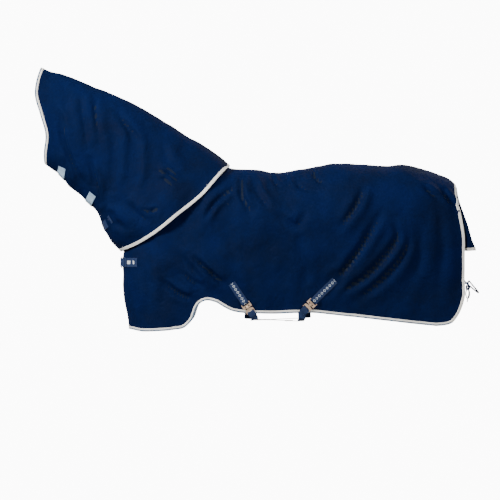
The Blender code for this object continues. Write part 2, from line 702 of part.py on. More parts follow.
def throat_closures(grid):
    """Three tabs across the throat opening and the patches they close on."""
    columns, rows = grid[0].shape[:2]
    inset = BINDING_WIDTH / (0.58 * BODY_LENGTH)
    shares = [0.0, inset] + [k / 10.0 for k in range(1, 10)] + [0.96, 1.0 - 0.6 * inset, 1.0]
    last = rows - 1
    for number, share in enumerate((0.16, 0.44, 0.67), start=1):
        column = float(np.interp(share, shares, range(columns)))
        near = [last - 2.8, last - 2.4, last - 2.0, last - 1.5, last - 1.0, last - 0.5, last]
        far = [last, last - 0.5, last - 1.0, last - 1.5, last - 2.0, last - 2.35, last - 2.6]
        path, sides, outs = [], [], []
        for flip, places in ((False, near), (True, far)):
            for row in places:
                lift = (SEWN_LIFT if flip and row < last - 2.1 else STRAP_LIFT) + HALF_WEB
                spot, out = line_spot(grid, column, row, lift, flip)
                ahead = line_spot(grid, column + 0.3, row, lift, flip)[0]
                back = line_spot(grid, column - 0.3, row, lift, flip)[0]
                path.append(spot)
                outs.append(out)
                sides.append((ahead - back) / np.linalg.norm(ahead - back))
        hinge = path[-1]
        widths = [THROAT_TAB_WIDTH] * len(path)
        ribbon(f"throat_tab_{number}", path, sides, outs, widths, WEBBING_THICKNESS, "webbing", hinge)
        path, sides, outs = [], [], []
        for row in (last - 2.7, last - 2.35, last - 2.0, last - 1.5, last - 1.15):
            lift = SEWN_LIFT + 0.0005 if row < last - 2.1 else PATCH_LIFT
            spot, out = line_spot(grid, column, row, lift)
            ahead = line_spot(grid, column + 0.3, row, lift)[0]
            back = line_spot(grid, column - 0.3, row, lift)[0]
            path.append(spot)
            outs.append(out)
            sides.append((ahead - back) / np.linalg.norm(ahead - back))
        ribbon(f"throat_patch_{number}", path, sides, outs, [THROAT_TAB_WIDTH * 0.8] * 5, 0.0010,
               "pale_webbing", NECK_PIVOT)


def ring_path(centre, u, v, half_u, half_v, corner, steps=3):
    """Rounded rectangle of points."""
    centre, u, v = (np.array(k, float) for k in (centre, u, v))
    path = []
    for quarter, (a, b) in enumerate(((1, 1), (-1, 1), (-1, -1), (1, -1))):
        for k in range(steps + 1):
            angle = math.pi / 2 * (quarter + k / steps)
            path.append(centre + u * (a * (half_u - corner) + corner * math.cos(angle))
                        + v * (b * (half_v - corner) + corner * math.sin(angle)))
    return path


def chest_closure(grid, label, z, width, rise):
    """Near strap, off billet, buckle frame, prong and keeper at one height of the chest."""
    middle = np.array([x_on(CHEST, z), 0.0, z])
    up = np.array([x_on(CHEST, z + 0.02) - x_on(CHEST, z - 0.02), 0.0, 0.04])
    up /= np.linalg.norm(up)
    out = np.array([-up[2], 0.0, up[0]])
    across = np.array([0.0, 1.0, 0.0])
    half = WEBBING_THICKNESS / 2
    lift = STRAP_LIFT + half + rise
    sewn = SEWN_LIFT + half + rise * 0.25
    reach = 0.0165
    wrap = BAR_RADIUS + GAP + half
    bar = lift + wrap

    def flat(y, n):
        return middle + across * y + out * n, out

    def round_path(items):
        path = [item[0] for item in items]
        run = np.gradient(np.array(path), axis=0)
        outs = np.cross(up, run)
        outs /= np.linalg.norm(outs, axis=1, keepdims=True)
        return path, [up] * len(path), outs, [width] * len(path)

    far = side_width(middle[0], z) / (0.40 * BARREL_WIDTH)
    near = [chest_spot(grid, z, -0.178 * far, sewn), chest_spot(grid, z, -0.173 * far, sewn)]
    near += [chest_spot(grid, z, -y * far, lift) for y in (0.167, 0.125, 0.100)]
    near.append(chest_spot(grid, z, -0.075, lift))
    near += [chest_spot(grid, z, -0.055, lift + 0.0006), flat(-0.034, lift), flat(-0.022, lift)]
    for degrees in range(-90, 91, 30):
        turn = math.radians(degrees)
        near.append(flat(-reach + wrap * math.cos(turn), bar + wrap * math.sin(turn)))
    near += [flat(-0.022, bar + wrap), flat(-0.034, lift + 0.0045), chest_spot(grid, z, -0.048, lift + 0.0043)]
    ribbon(f"chest_strap_{label}", *round_path(near), WEBBING_THICKNESS, "webbing")

    top = bar + wrap + 2 * half + 0.0006
    off = [chest_spot(grid, z, 0.178 * far, sewn), chest_spot(grid, z, 0.173 * far, sewn)]
    off += [chest_spot(grid, z, y * far, lift) for y in (0.167, 0.125, 0.100)]
    off.append(chest_spot(grid, z, 0.075, lift))
    off += [chest_spot(grid, z, 0.055, lift + 0.0006), flat(0.034, lift), flat(reach, lift - 0.0002)]
    off += [flat(0.010, lift + 0.0008), flat(0.0, lift + 0.0041), flat(-0.008, lift + 0.0071),
            flat(-reach, top), flat(-0.024, top), flat(-0.036, lift + 0.0076),
            chest_spot(grid, z, -0.050, lift + 0.0067), chest_spot(grid, z, -0.058, lift + 0.0039),
            chest_spot(grid, z, -0.066, lift + 0.0025), chest_spot(grid, z, -0.080, lift + 0.0023),
            chest_spot(grid, z, -0.094, lift + 0.0023), chest_spot(grid, z, -0.106, lift + 0.0023)]
    billet = ribbon(f"chest_billet_{label}", *round_path(off), WEBBING_THICKNESS, "webbing")
    spot = flat(-0.0025, lift + 0.0052)[0]
    run = flat(-0.008, lift + 0.0071)[0] - flat(0.0, lift + 0.0041)[0]
    run /= np.linalg.norm(run)
    thick = np.cross(up, run)
    cutter(f"prong_slot_{label}", box_corners(spot, run, up, thick, 0.0090, 0.0028, 0.0040), billet)

    hinge = flat(-reach, bar)[0]
    frame = ring_path(flat(0.0, bar)[0], across, up, reach, width / 2 + 0.0065, 0.004)
    tube(f"chest_frame_{label}", frame, BAR_RADIUS, 8, "brass", closed=True, origin=hinge)
    rest = bar + BAR_RADIUS + GAP + PRONG_RADIUS + 0.0001
    prong = [flat(-0.0106, bar)[0], flat(0.0, bar + (rest - bar) * 0.42)[0], flat(reach, rest)[0],
             flat(0.0208, rest - 0.0002)[0]]
    tube(f"chest_prong_{label}", prong, PRONG_RADIUS, 8, "brass", origin=hinge)

    spot = chest_spot(grid, z, -0.078, lift + 0.0011)[0]
    ahead = chest_spot(grid, z, -0.072, lift)[0] - chest_spot(grid, z, -0.084, lift)[0]
    ahead /= np.linalg.norm(ahead)
    face = np.cross(up, ahead)
    loop_band(f"chest_keeper_{label}", spot, up, face, ahead, width / 2 + 0.0012, 0.0027, 0.0012,
              0.014, "webbing", spot)


def reflective_strip(grid, z):
    """Reflective strip on the lower chest strap."""
    far = side_width(x_on(CHEST, z), z) / (0.40 * BARREL_WIDTH)
    path = [chest_spot(grid, z, y * far, STRAP_LIFT + WEBBING_THICKNESS + 0.0006)[0]
            for y in (-0.165, -0.146, -0.125, -0.114)]
    flat_ribbon("reflective_strip", path, (0, 0, 1), 0.020, 0.0005, "reflective")


def shell_tree(grid):
    """Search tree of the near side shell for laying straps on it."""
    points = grid[0]
    wide, tall = points.shape[:2]
    verts = [Vector(p) for p in points.reshape(-1, 3)]
    faces = []
    for i in range(wide - 1):
        for j in range(tall - 1):
            a, b = i * tall + j, (i + 1) * tall + j
            faces += [(a, b, b + 1), (a, b + 1, a + 1)]
    return BVHTree.FromPolygons(verts, faces)


def laid(tree, x, z):
    """Point and face normal of the near side shell at a side view place."""
    spot, normal, _, _ = tree.ray_cast(Vector((x, -1.0, z)), Vector((0.0, 1.0, 0.0)))
    normal = np.array(normal)
    return np.array(spot), normal if normal[1] < 0 else -normal


def smooth_normal(tree, x, z):
    """Average normal of the near side shell around a place."""
    total = np.zeros(3)
    for dx, dz in ((0, 0), (0.02, 0), (-0.02, 0), (0, 0.015), (0, -0.015)):
        total += laid(tree, x + dx, z + dz)[1]
    return total / np.linalg.norm(total)


def shape_plate(name, u, v, w, origin, outline, holes, half_thick, material, pivot):
    """Flat metal plate with openings, drawn as a filled curve and placed in its own directions."""
    curve = bpy.data.curves.new(name, "CURVE")
    curve.dimensions = "2D"
    curve.fill_mode = "BOTH"
    curve.extrude = half_thick
    for ring in [outline] + holes:
        spline = curve.splines.new("POLY")
        spline.points.add(len(ring) - 1)
        for k, (a, b) in enumerate(ring):
            spline.points[k].co = (a, b, 0.0, 1.0)
        spline.use_cyclic_u = True
    drawn = bpy.data.objects.new(name + "_curve", curve)
    bpy.context.scene.collection.objects.link(drawn)
    graph = bpy.context.evaluated_depsgraph_get()
    mesh = bpy.data.meshes.new_from_object(drawn.evaluated_get(graph))
    bpy.data.objects.remove(drawn)
    work = bmesh.new()
    work.from_mesh(mesh)
    bmesh.ops.remove_doubles(work, verts=work.verts, dist=1e-6)
    verts = [origin + u * p.co.x + v * p.co.y + w * p.co.z for p in work.verts]
    work.verts.index_update()
    faces = [tuple(p.index for p in face.verts) for face in work.faces]
    work.free()
    return solid(name, verts, faces, material, pivot)


def rounded_box(half_u, low_v, high_v, corner, steps=3):
    """Rounded rectangle in a plate's own plane."""
    middle = (low_v + high_v) / 2
    ring = ring_path((0, middle, 0), (1, 0, 0), (0, 1, 0), half_u, (high_v - low_v) / 2, corner, steps)
    return [(p[0], p[1]) for p in ring]


def surcingle(tree, label, top, end, crossing, low):
    """Stub, plate, hook, belly strap and slider of one crossing surcingle."""
    top, end = scaled([top, end])
    far_end, far_top = scaled(crossing)
    width = SURCINGLE_WIDTH
    lift = STRAP_LIFT + HALF_WEB
    out = smooth_normal(tree, *end)
    base = laid(tree, *end)[0]
    down = laid(tree, *end)[0] - laid(tree, *(end + (top - end) * 0.3))[0]
    down -= out * np.dot(down, out)
    down /= np.linalg.norm(down)
    wide = np.cross(out, down)
    height = 0.0115
    wrap = 0.0036

    def local(d, n):
        return base + down * d + out * n

    path, outs = [], []
    for share in (0.0, 0.08, 0.25, 0.45, 0.64, 0.82):
        spot = top + (end - top) * share
        normal = smooth_normal(tree, *spot)
        rise = HALF_WEB + SEWN_LIFT if share < 0.1 else lift + 0.0004
        path.append(laid(tree, *spot)[0] + normal * rise)
        outs.append(normal)
    for d, n in ((-0.010, height - wrap), (0.0, height - wrap)):
        path.append(local(d, n))
    for degrees in (-60, -30, 0, 30, 60, 90):
        turn = math.radians(degrees)
        path.append(local(wrap * math.cos(turn), height + wrap * math.sin(turn)))
    path += [local(-0.010, height + wrap - 0.0008), local(-0.022, height - wrap + 0.0040)]
    run = np.gradient(np.array(path), axis=0)
    sides = [np.cross(o, down) / np.linalg.norm(np.cross(o, down)) for o in outs]
    sides += [wide] * (len(path) - len(sides))
    faces_out = np.cross(run, np.array(sides))
    faces_out /= np.linalg.norm(faces_out, axis=1, keepdims=True)
    ribbon(f"surcingle_stub_{label}", path, sides, faces_out, [width] * len(path), WEBBING_THICKNESS,
           "webbing")

    hinge = local(0.0, height)
    half = PLATE_THICKNESS / 2
    holes = [rounded_box(width / 2 + 0.0015, 0.002, 0.0105, 0.001), rounded_box(0.0150, 0.015, 0.0245, 0.002)]
    shape_plate(f"surcingle_plate_{label}", wide, down, out, hinge,
                rounded_box(width / 2 + 0.006, -0.002, 0.030, 0.0015), holes, half, "brass", hinge)

    profile = [(0.0165, -0.0050, 0.026), (0.0190, -0.0050, 0.026), (0.0198, -0.0042, 0.009),
               (0.0202, 0.0, 0.009), (0.0210, 0.0036, 0.009), (0.0240, 0.0050, 0.009),
               (0.0305, 0.0050, 0.009), (0.0345, 0.0030, 0.014), (0.0385, 0.0004, 0.040),
               (0.0410, 0.0, 0.050), (0.0610, 0.0, 0.052)]
    path = [local(d, height + n) for d, n, _ in profile]
    run = np.gradient(np.array(path), axis=0)
    outs = np.cross(run, wide)
    outs /= np.linalg.norm(outs, axis=1, keepdims=True)
    knob = local(0.0590, height)
    hook = ribbon(f"surcingle_hook_{label}", path, [wide] * len(path), outs, [p[2] for p in profile],
                  0.0022, "brass", knob)
    slot = local(0.0540, height)
    cutter(f"strap_slot_{label}", box_corners(slot, wide, down, out, width / 2 + 0.0015, 0.0030, 0.004),
           hook)

    bar = 0.0590
    path = [local(bar + 0.026, height + 0.0024), local(bar + 0.012, height + wrap)]
    for degrees in (90, 120, 150, 180, 210, 240, 270):
        turn = math.radians(degrees)
        path.append(local(bar + wrap * math.cos(turn), height + wrap * math.sin(turn)))
    path += [local(bar + 0.012, height - wrap), local(bar + 0.026, height - wrap - 0.0012)]
    sides = [wide] * len(path)
    start = path[-1]
    far_wall = laid(tree, *far_end)[0] * MIRROR
    far_out = smooth_normal(tree, *far_end) * MIRROR
    near_low = np.array([start[0] + down[0] * 0.020, start[1] + 0.030, low])
    far_low = np.array([far_end[0] + (far_end[0] - far_top[0]) * 0.25, far_wall[1] - 0.030, low])
    across = far_low - near_low
    flat = np.cross(across / np.linalg.norm(across), (0, 0, 1.0))
    flat *= 1.0 if np.dot(flat, wide) > 0 else -1.0
    bend = [start + down * 0.012 + np.array([0, 0.002, -0.004]),
            (start + near_low) / 2 + np.array([0, -0.009, -0.012])]
    path += bend
    sides += [wide * 0.9 + flat * 0.1, wide * 0.5 + flat * 0.5]
    for share in (0.0, 0.25, 0.5, 0.75, 1.0):
        path.append(near_low + across * share)
        sides.append(flat)
    far_down = far_end - far_top
    far_down = np.array([far_down[0], 0.0, far_down[1]]) / np.linalg.norm(far_down)
    far_wide = np.cross(far_down, far_out)
    far_wide *= 1.0 if np.dot(far_wide, flat) > 0 else -1.0
    outer = far_wall + far_out * lift
    path += [far_low + np.array([-far_down[0] * 0.012, 0.026, 0.003]), outer + far_down * 0.040
             + np.array([0, 0.008, 0])]
    sides += [flat * 0.5 + far_wide * 0.5, far_wide]
    for share in (0.0, 0.25, 0.5, 0.75, 0.92, 1.0):
        spot = far_end + (far_top - far_end) * share
        normal = smooth_normal(tree, *spot) * MIRROR
        rise = HALF_WEB + SEWN_LIFT if share > 0.9 else lift + 0.0006
        path.append(laid(tree, *spot)[0] * MIRROR + normal * rise)
        sides.append(far_wide)
    run = np.gradient(np.array(path), axis=0)
    clean = []
    for side, way in zip(sides, run):
        way = way / np.linalg.norm(way)
        side = side - way * np.dot(side, way)
        clean.append(side / np.linalg.norm(side))
    outs = np.cross(run, np.array(clean))
    outs /= np.linalg.norm(outs, axis=1, keepdims=True)
    ribbon(f"belly_strap_{label}", path, clean, outs, [width] * len(path), WEBBING_THICKNESS, "webbing")

    spot = near_low + across * 0.22
    way = across / np.linalg.norm(across)
    loop_band(f"surcingle_slider_{label}", spot, flat, (0, 0, 1.0), way, width / 2 + 0.0014,
              HALF_WEB + GAP, 0.0020, 0.010, "brass", spot)



def tail_cord():
    """Cord under the tail, its knots and the sewn loops it runs through."""
    z = -0.655 * BODY_DEPTH
    wall = body_width(x_on(REAR, z) - 0.002, z)
    edge = x_on(REAR, z) + BINDING_THICKNESS + 2 * GAP
    band = 0.0012
    reach = 0.0075
    x = edge + band + reach + 0.0025
    middle = []
    for share in np.linspace(-1.0, 1.0, 17):
        bow = 0.075 * (1.0 - share ** 2)
        middle.append((x + bow, wall * 0.98 * share, z - bow))
    ends = [(x, wall, z - 0.010), (x, wall, z - 0.026)]
    first = [(a, -b, c) for a, b, c in reversed(ends)]
    path = first + [(x, -wall, z + 0.001)] + middle[1:-1] + [(x, wall, z + 0.001)] + ends
    tube("tail_cord", path, CORD_RADIUS, 8, "cord")
    for side, sign in (("near", -1.0), ("off", 1.0)):
        spot = np.array([edge + band + reach, sign * wall, z - 0.016])
        loop_band(f"tail_loop_{side}", spot, (1.0, 0, 0), (0, 1.0, 0), (0, 0, 1.0), reach,
                  CORD_RADIUS + GAP, band, 0.014, "webbing")
        knot = []
        for k in range(30):
            turn = 2 * math.pi * k / 30
            ring = 0.0078 + 0.0036 * math.cos(3 * turn)
            knot.append((x + 0.0028 + ring * math.cos(2 * turn), sign * wall + 0.0050 * math.sin(3 * turn),
                         z - 0.0416 + ring * 1.2 * math.sin(2 * turn)))
        tube(f"tail_knot_{side}", knot, 0.0030, 6, "cord", closed=True)


def grid_tree(grid, offset):
    """Search tree of both sides of a grid at an offset."""
    points, normals = grid
    wide, tall = points.shape[:2]
    layer = (points + normals * offset).reshape(-1, 3)
    verts = [Vector(p) for p in layer] + [Vector(p * MIRROR) for p in layer]
    faces = []
    for base in (0, wide * tall):
        for i in range(wide - 1):
            for j in range(tall - 1):
                a, b = base + i * tall + j, base + (i + 1) * tall + j
                faces += [(a, b, b + 1), (a, b + 1, a + 1)]
    return BVHTree.FromPolygons(verts, faces)


def withers_fastening(body, neck):
    """Hook and loop block that joins the neck cover to the body rug at the withers."""
    below = grid_tree(body, 0.0)
    above = grid_tree(neck, -STACK - GAP - BINDING_THICKNESS)
    x_first = NECK_PIVOT[0] - 0.0165
    x_last = NECK_PIVOT[0] - 0.0065
    places = [-0.045, -0.030, -0.0169, -0.008, 0.0004, 0.008, 0.0169, 0.030, 0.045]
    verts = []
    for x in (x_first, (x_first + x_last) / 2, x_last):
        for y in places:
            low = below.ray_cast(Vector((x, y, 1.0)), Vector((0, 0, -1.0)))[0]
            high = above.ray_cast(Vector((x, y, 1.0)), Vector((0, 0, -1.0)))[0]
            verts += [(x, y, low.z + 2 * GAP), (x, y, high.z - 2.6 * GAP)]
    count = len(places)
    faces = []
    for k in range(2):
        for j in range(count - 1):
            a = (k * count + j) * 2
            b = a + count * 2
            faces += [(a, b, b + 2, a + 2), (a + 1, a + 3, b + 3, b + 1)]
        for j in (0, count - 1):
            a = (k * count + j) * 2
            faces.append((a, a + 1, a + 1 + count * 2, a + count * 2))
    for j in range(count - 1):
        for k in (0, 2):
            a = (k * count + j) * 2
            faces.append((a, a + 1, a + 3, a + 2))
    solid("withers_fastening", verts, faces, "seam_tape")


NECK_PIVOT = (-0.0423 * BODY_LENGTH, 0.0, 0.0480 * BODY_DEPTH)


def build():
    """Make the whole rug."""
    for old in list(bpy.data.objects):
        bpy.data.objects.remove(old)
    for name in ("turnout_rug", "cutters"):
        group = bpy.data.collections.new(name)
        bpy.context.scene.collection.children.link(group)
    body = body_grid()
    rows = [(column, 0) for column in range(NECKLINE_END, body.shape[0])]
    body = (body, grid_normals(body, rows))
    neck = neck_grid()
    neck = (neck, grid_normals(neck, [(column, 0) for column in range(neck.shape[0])]))
    flap = flap_grid()
    flap = (flap, grid_normals(flap, []))
    body_sheets(body)
    body_bindings(body)
    ridge_tape("spine_tape", body, NECKLINE_END + 0.6, body[0].shape[0] - 2.03)
    wither_pad(body)
    tail_flap(flap)
    neck_cover(neck, NECK_PIVOT)
    throat_closures(neck)
    withers_fastening(body, neck)
    lower = -0.5460 * BODY_DEPTH
    chest_closure(body, "upper", -0.4200 * BODY_DEPTH, UPPER_STRAP_WIDTH, 0.0040)
    chest_closure(body, "lower", lower, CHEST_STRAP_WIDTH, 0.0)
    reflective_strip(body, lower)
    tree = shell_tree(body)
    front = [(-0.0350, -0.6725), (0.0040, -0.7950)]
    rear = [(0.2623, -0.6540), (0.2010, -0.7820)]
    surcingle(tree, "front", front[0], front[1], (rear[1], rear[0]), -0.8980 * BODY_DEPTH)
    surcingle(tree, "rear", rear[0], rear[1], (front[1], front[0]), -0.9040 * BODY_DEPTH)
    tail_cord()


build()
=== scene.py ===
"""Turnout rug with a neck cover: its cloth, webbing, stitching and fittings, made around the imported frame.

The sheets are fine versions of the frame's own panels with their folds and slack added, and each strap
follows its route as real webbing. Everything is in metres, in the frame's own place.
"""
import math

import bmesh
import bpy
import numpy as np
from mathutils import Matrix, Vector

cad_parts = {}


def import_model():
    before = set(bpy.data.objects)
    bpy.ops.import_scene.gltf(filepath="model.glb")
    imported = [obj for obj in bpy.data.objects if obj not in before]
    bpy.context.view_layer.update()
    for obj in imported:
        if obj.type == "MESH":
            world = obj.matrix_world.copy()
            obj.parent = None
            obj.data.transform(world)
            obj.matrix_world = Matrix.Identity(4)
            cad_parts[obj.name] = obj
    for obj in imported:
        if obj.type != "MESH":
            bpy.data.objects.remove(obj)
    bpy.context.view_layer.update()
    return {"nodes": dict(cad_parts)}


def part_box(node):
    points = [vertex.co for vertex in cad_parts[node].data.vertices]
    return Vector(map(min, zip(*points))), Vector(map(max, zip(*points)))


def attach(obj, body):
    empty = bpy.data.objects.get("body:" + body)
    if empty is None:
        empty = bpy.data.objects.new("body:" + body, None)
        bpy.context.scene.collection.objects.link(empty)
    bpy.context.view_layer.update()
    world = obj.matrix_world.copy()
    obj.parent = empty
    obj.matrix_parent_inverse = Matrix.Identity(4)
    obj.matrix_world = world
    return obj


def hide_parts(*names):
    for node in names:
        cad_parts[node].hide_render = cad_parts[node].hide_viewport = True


# Overall sizes of the rug, metres
BODY_LENGTH = 1.99
BODY_DEPTH = 0.94
BARREL_WIDTH = 0.60
# Roundness of the back and of the chest, and how far the neck cover keeps from the body rug
BACK_ROUNDING = 0.33
CHEST_ROUNDING = 0.28
NECK_CLEARANCE = 0.015
CHEST_EDGE_Y = 0.006
# Cloth and tape sizes, metres
CLOTH_STEP = 0.008
LINING_STEP = 0.018
CLOTH_THICKNESS = 0.0016
LINING_TOP = -0.0034
LINING_THICKNESS = 0.0012
BINDING_WIDTH = 0.017
BINDING_FACE = 0.0013
PIPING_RADIUS = 0.0030
STITCH_PITCH = 0.0062
STITCH_LENGTH = 0.0042
THREAD_RADIUS = 0.00045
CORD_RADIUS = 0.0045
SEAM_HALF_GAP = 0.00015
# Webbing widths and thicknesses; belly straps and tabs are a little thinner, to leave room for motion
UPPER_STRAP_WIDTH = 0.040
LOWER_STRAP_WIDTH = 0.052
SURCINGLE_WIDTH = 0.042
THROAT_TAB_WIDTH = 0.048
PATCH_WIDTH = 0.0384
STRIP_WIDTH = 0.020
WEBBING_THICKNESS = 0.0018
BELLY_THICKNESS = 0.0017
TAB_THICKNESS = 0.0015
PATCH_THICKNESS = 0.0010
STRIP_THICKNESS = 0.0006
STRIP_LIFT = 0.0014
BOX_LIFT = 0.0013
TAB_STEP = 0.003
# How strongly the listed folds and the free slack show, and where the pad holds the cloth up
FOLD_GAIN = 1.95
SLACK = 6.0
PAD_CENTRE = np.array([0.02, 0.02])
PAD_REACH = np.array([0.15, 0.13])
MIRROR = np.array([1.0, -1.0, 1.0])

# Side outlines, as fractions (x of BODY_LENGTH, z of BODY_DEPTH)
BACK_LINE = [
    (-0.1282, 0.1435), (-0.0991, 0.0972), (-0.0525, 0.0455), (-0.0329, 0.0370), (0.0000, 0.0331),
    (0.0291, 0.0250), (0.0918, 0.0178), (0.1312, 0.0296), (0.1574, 0.0339), (0.1982, 0.0366),
    (0.2285, 0.0561), (0.2740, 0.0722), (0.3089, 0.0784), (0.3585, 0.0703), (0.4547, 0.0531),
    (0.5101, 0.0444), (0.5538, 0.0185), (0.5917, -0.0216), (0.6150, -0.0586), (0.6193, -0.0679),
]
REAR_EDGE = [
    (0.6193, -0.0679), (0.6202, -0.1703), (0.6281, -0.2252), (0.6368, -0.3332), (0.6444, -0.4196),
    (0.6412, -0.4813), (0.6406, -0.6170), (0.6389, -0.7651), (0.6351, -0.8021), (0.6266, -0.8391),
    (0.6164, -0.8823), (0.6033, -0.9132),
]
HEM = [
    (-0.3425, -0.9595), (-0.3305, -0.9589), (-0.3008, -0.9687), (-0.2711, -0.9687),
    (-0.2116, -0.9595), (-0.1749, -0.9453), (-0.1588, -0.9255), (-0.1501, -0.8947),
    (-0.1414, -0.8453), (-0.1312, -0.7990), (-0.1195, -0.7787), (-0.1043, -0.7768),
    (-0.0836, -0.7861), (-0.0630, -0.8114), (-0.0391, -0.8367), (-0.0064, -0.8521),
    (0.0420, -0.8558), (0.1122, -0.8583), (0.1798, -0.8472), (0.2157, -0.8558), (0.2798, -0.8688),
    (0.3381, -0.8823), (0.4360, -0.9058), (0.5130, -0.9255), (0.5683, -0.9348), (0.5917, -0.9243),
    (0.6033, -0.9132),
]
CHEST_LINE = [
    (-0.3430, -0.3579), (-0.3490, -0.4443), (-0.3556, -0.5060), (-0.3559, -0.6232),
    (-0.3585, -0.6726), (-0.3573, -0.7343), (-0.3497, -0.8490), (-0.3454, -0.9120),
    (-0.3425, -0.9595),
]
NECKLINE = [
    (-0.3430, -0.3579), (-0.3221, -0.3455), (-0.2725, -0.2715), (-0.2157, -0.1635),
    (-0.1603, -0.0740), (-0.1006, 0.0093), (-0.0525, 0.0455),
]
CREST = [
    (-0.5960, 0.6614), (-0.5305, 0.6232), (-0.4605, 0.5640), (-0.3964, 0.5041), (-0.3323, 0.4393),
    (-0.2740, 0.3826), (-0.2157, 0.3085), (-0.1574, 0.2283), (-0.1078, 0.1573), (-0.0758, 0.1111),
    (-0.0423, 0.0545),
]
THROAT = [
    (-0.5829, 0.0716), (-0.5526, 0.0210), (-0.5246, -0.0401), (-0.4955, -0.0956),
    (-0.4663, -0.1580), (-0.4401, -0.2110), (-0.4226, -0.2777), (-0.4080, -0.3486),
    (-0.3906, -0.4103), (-0.3774, -0.4412), (-0.3600, -0.4751),
]
# Half width of the body along its length, as fractions of half the barrel width
WIDTHS = [
    (-0.3600, 0.80), (-0.2300, 0.84), (-0.1000, 0.92), (0.0500, 0.98), (0.2200, 1.0),
    (0.4000, 1.0), (0.5200, 0.90), (0.6000, 0.74), (0.6500, 0.64),
]
NECK_WIDTHS = [0.35, 0.37, 0.41, 0.47, 0.53, 0.60, 0.67, 0.74, 0.80, 0.84, 0.86]
# Bulge of the neck cover's front edge and rear edge along the edge, metres
POLL_EDGE = [(0.0, 0.0), (0.17, -0.031), (0.27, -0.038), (0.43, -0.020), (0.69, 0.014), (0.81, 0.009),
             (0.93, -0.007), (1.0, 0.0)]
APRON_EDGE = [(0.0, 0.0), (0.27, 0.042), (0.62, 0.051), (0.82, 0.045), (0.91, 0.024), (1.0, 0.0)]
# Columns of the body grid behind the chest rounding, fractions of BODY_LENGTH
SIDE_COLUMNS = [-0.205, -0.172, -0.152, -0.133, -0.110, -0.084, -0.0525, -0.040, 0.0, 0.040, 0.090,
                0.145, 0.200, 0.255, 0.310, 0.370, 0.430, 0.490, 0.545]
CHEST_ANGLES = [0.28, 0.55, 0.85, 1.20]
BACK_ANGLES = [0.25, 0.50, 0.80, 1.10]
SIDE_ROWS = [0.35, 0.50, 0.66, 0.83]
NECK_ROWS = [0.10, 0.22, 0.36, 0.50, 0.64, 0.78, 0.90]
NECKLINE_END = len(CHEST_ANGLES) + 2 + SIDE_COLUMNS.index(-0.0525)

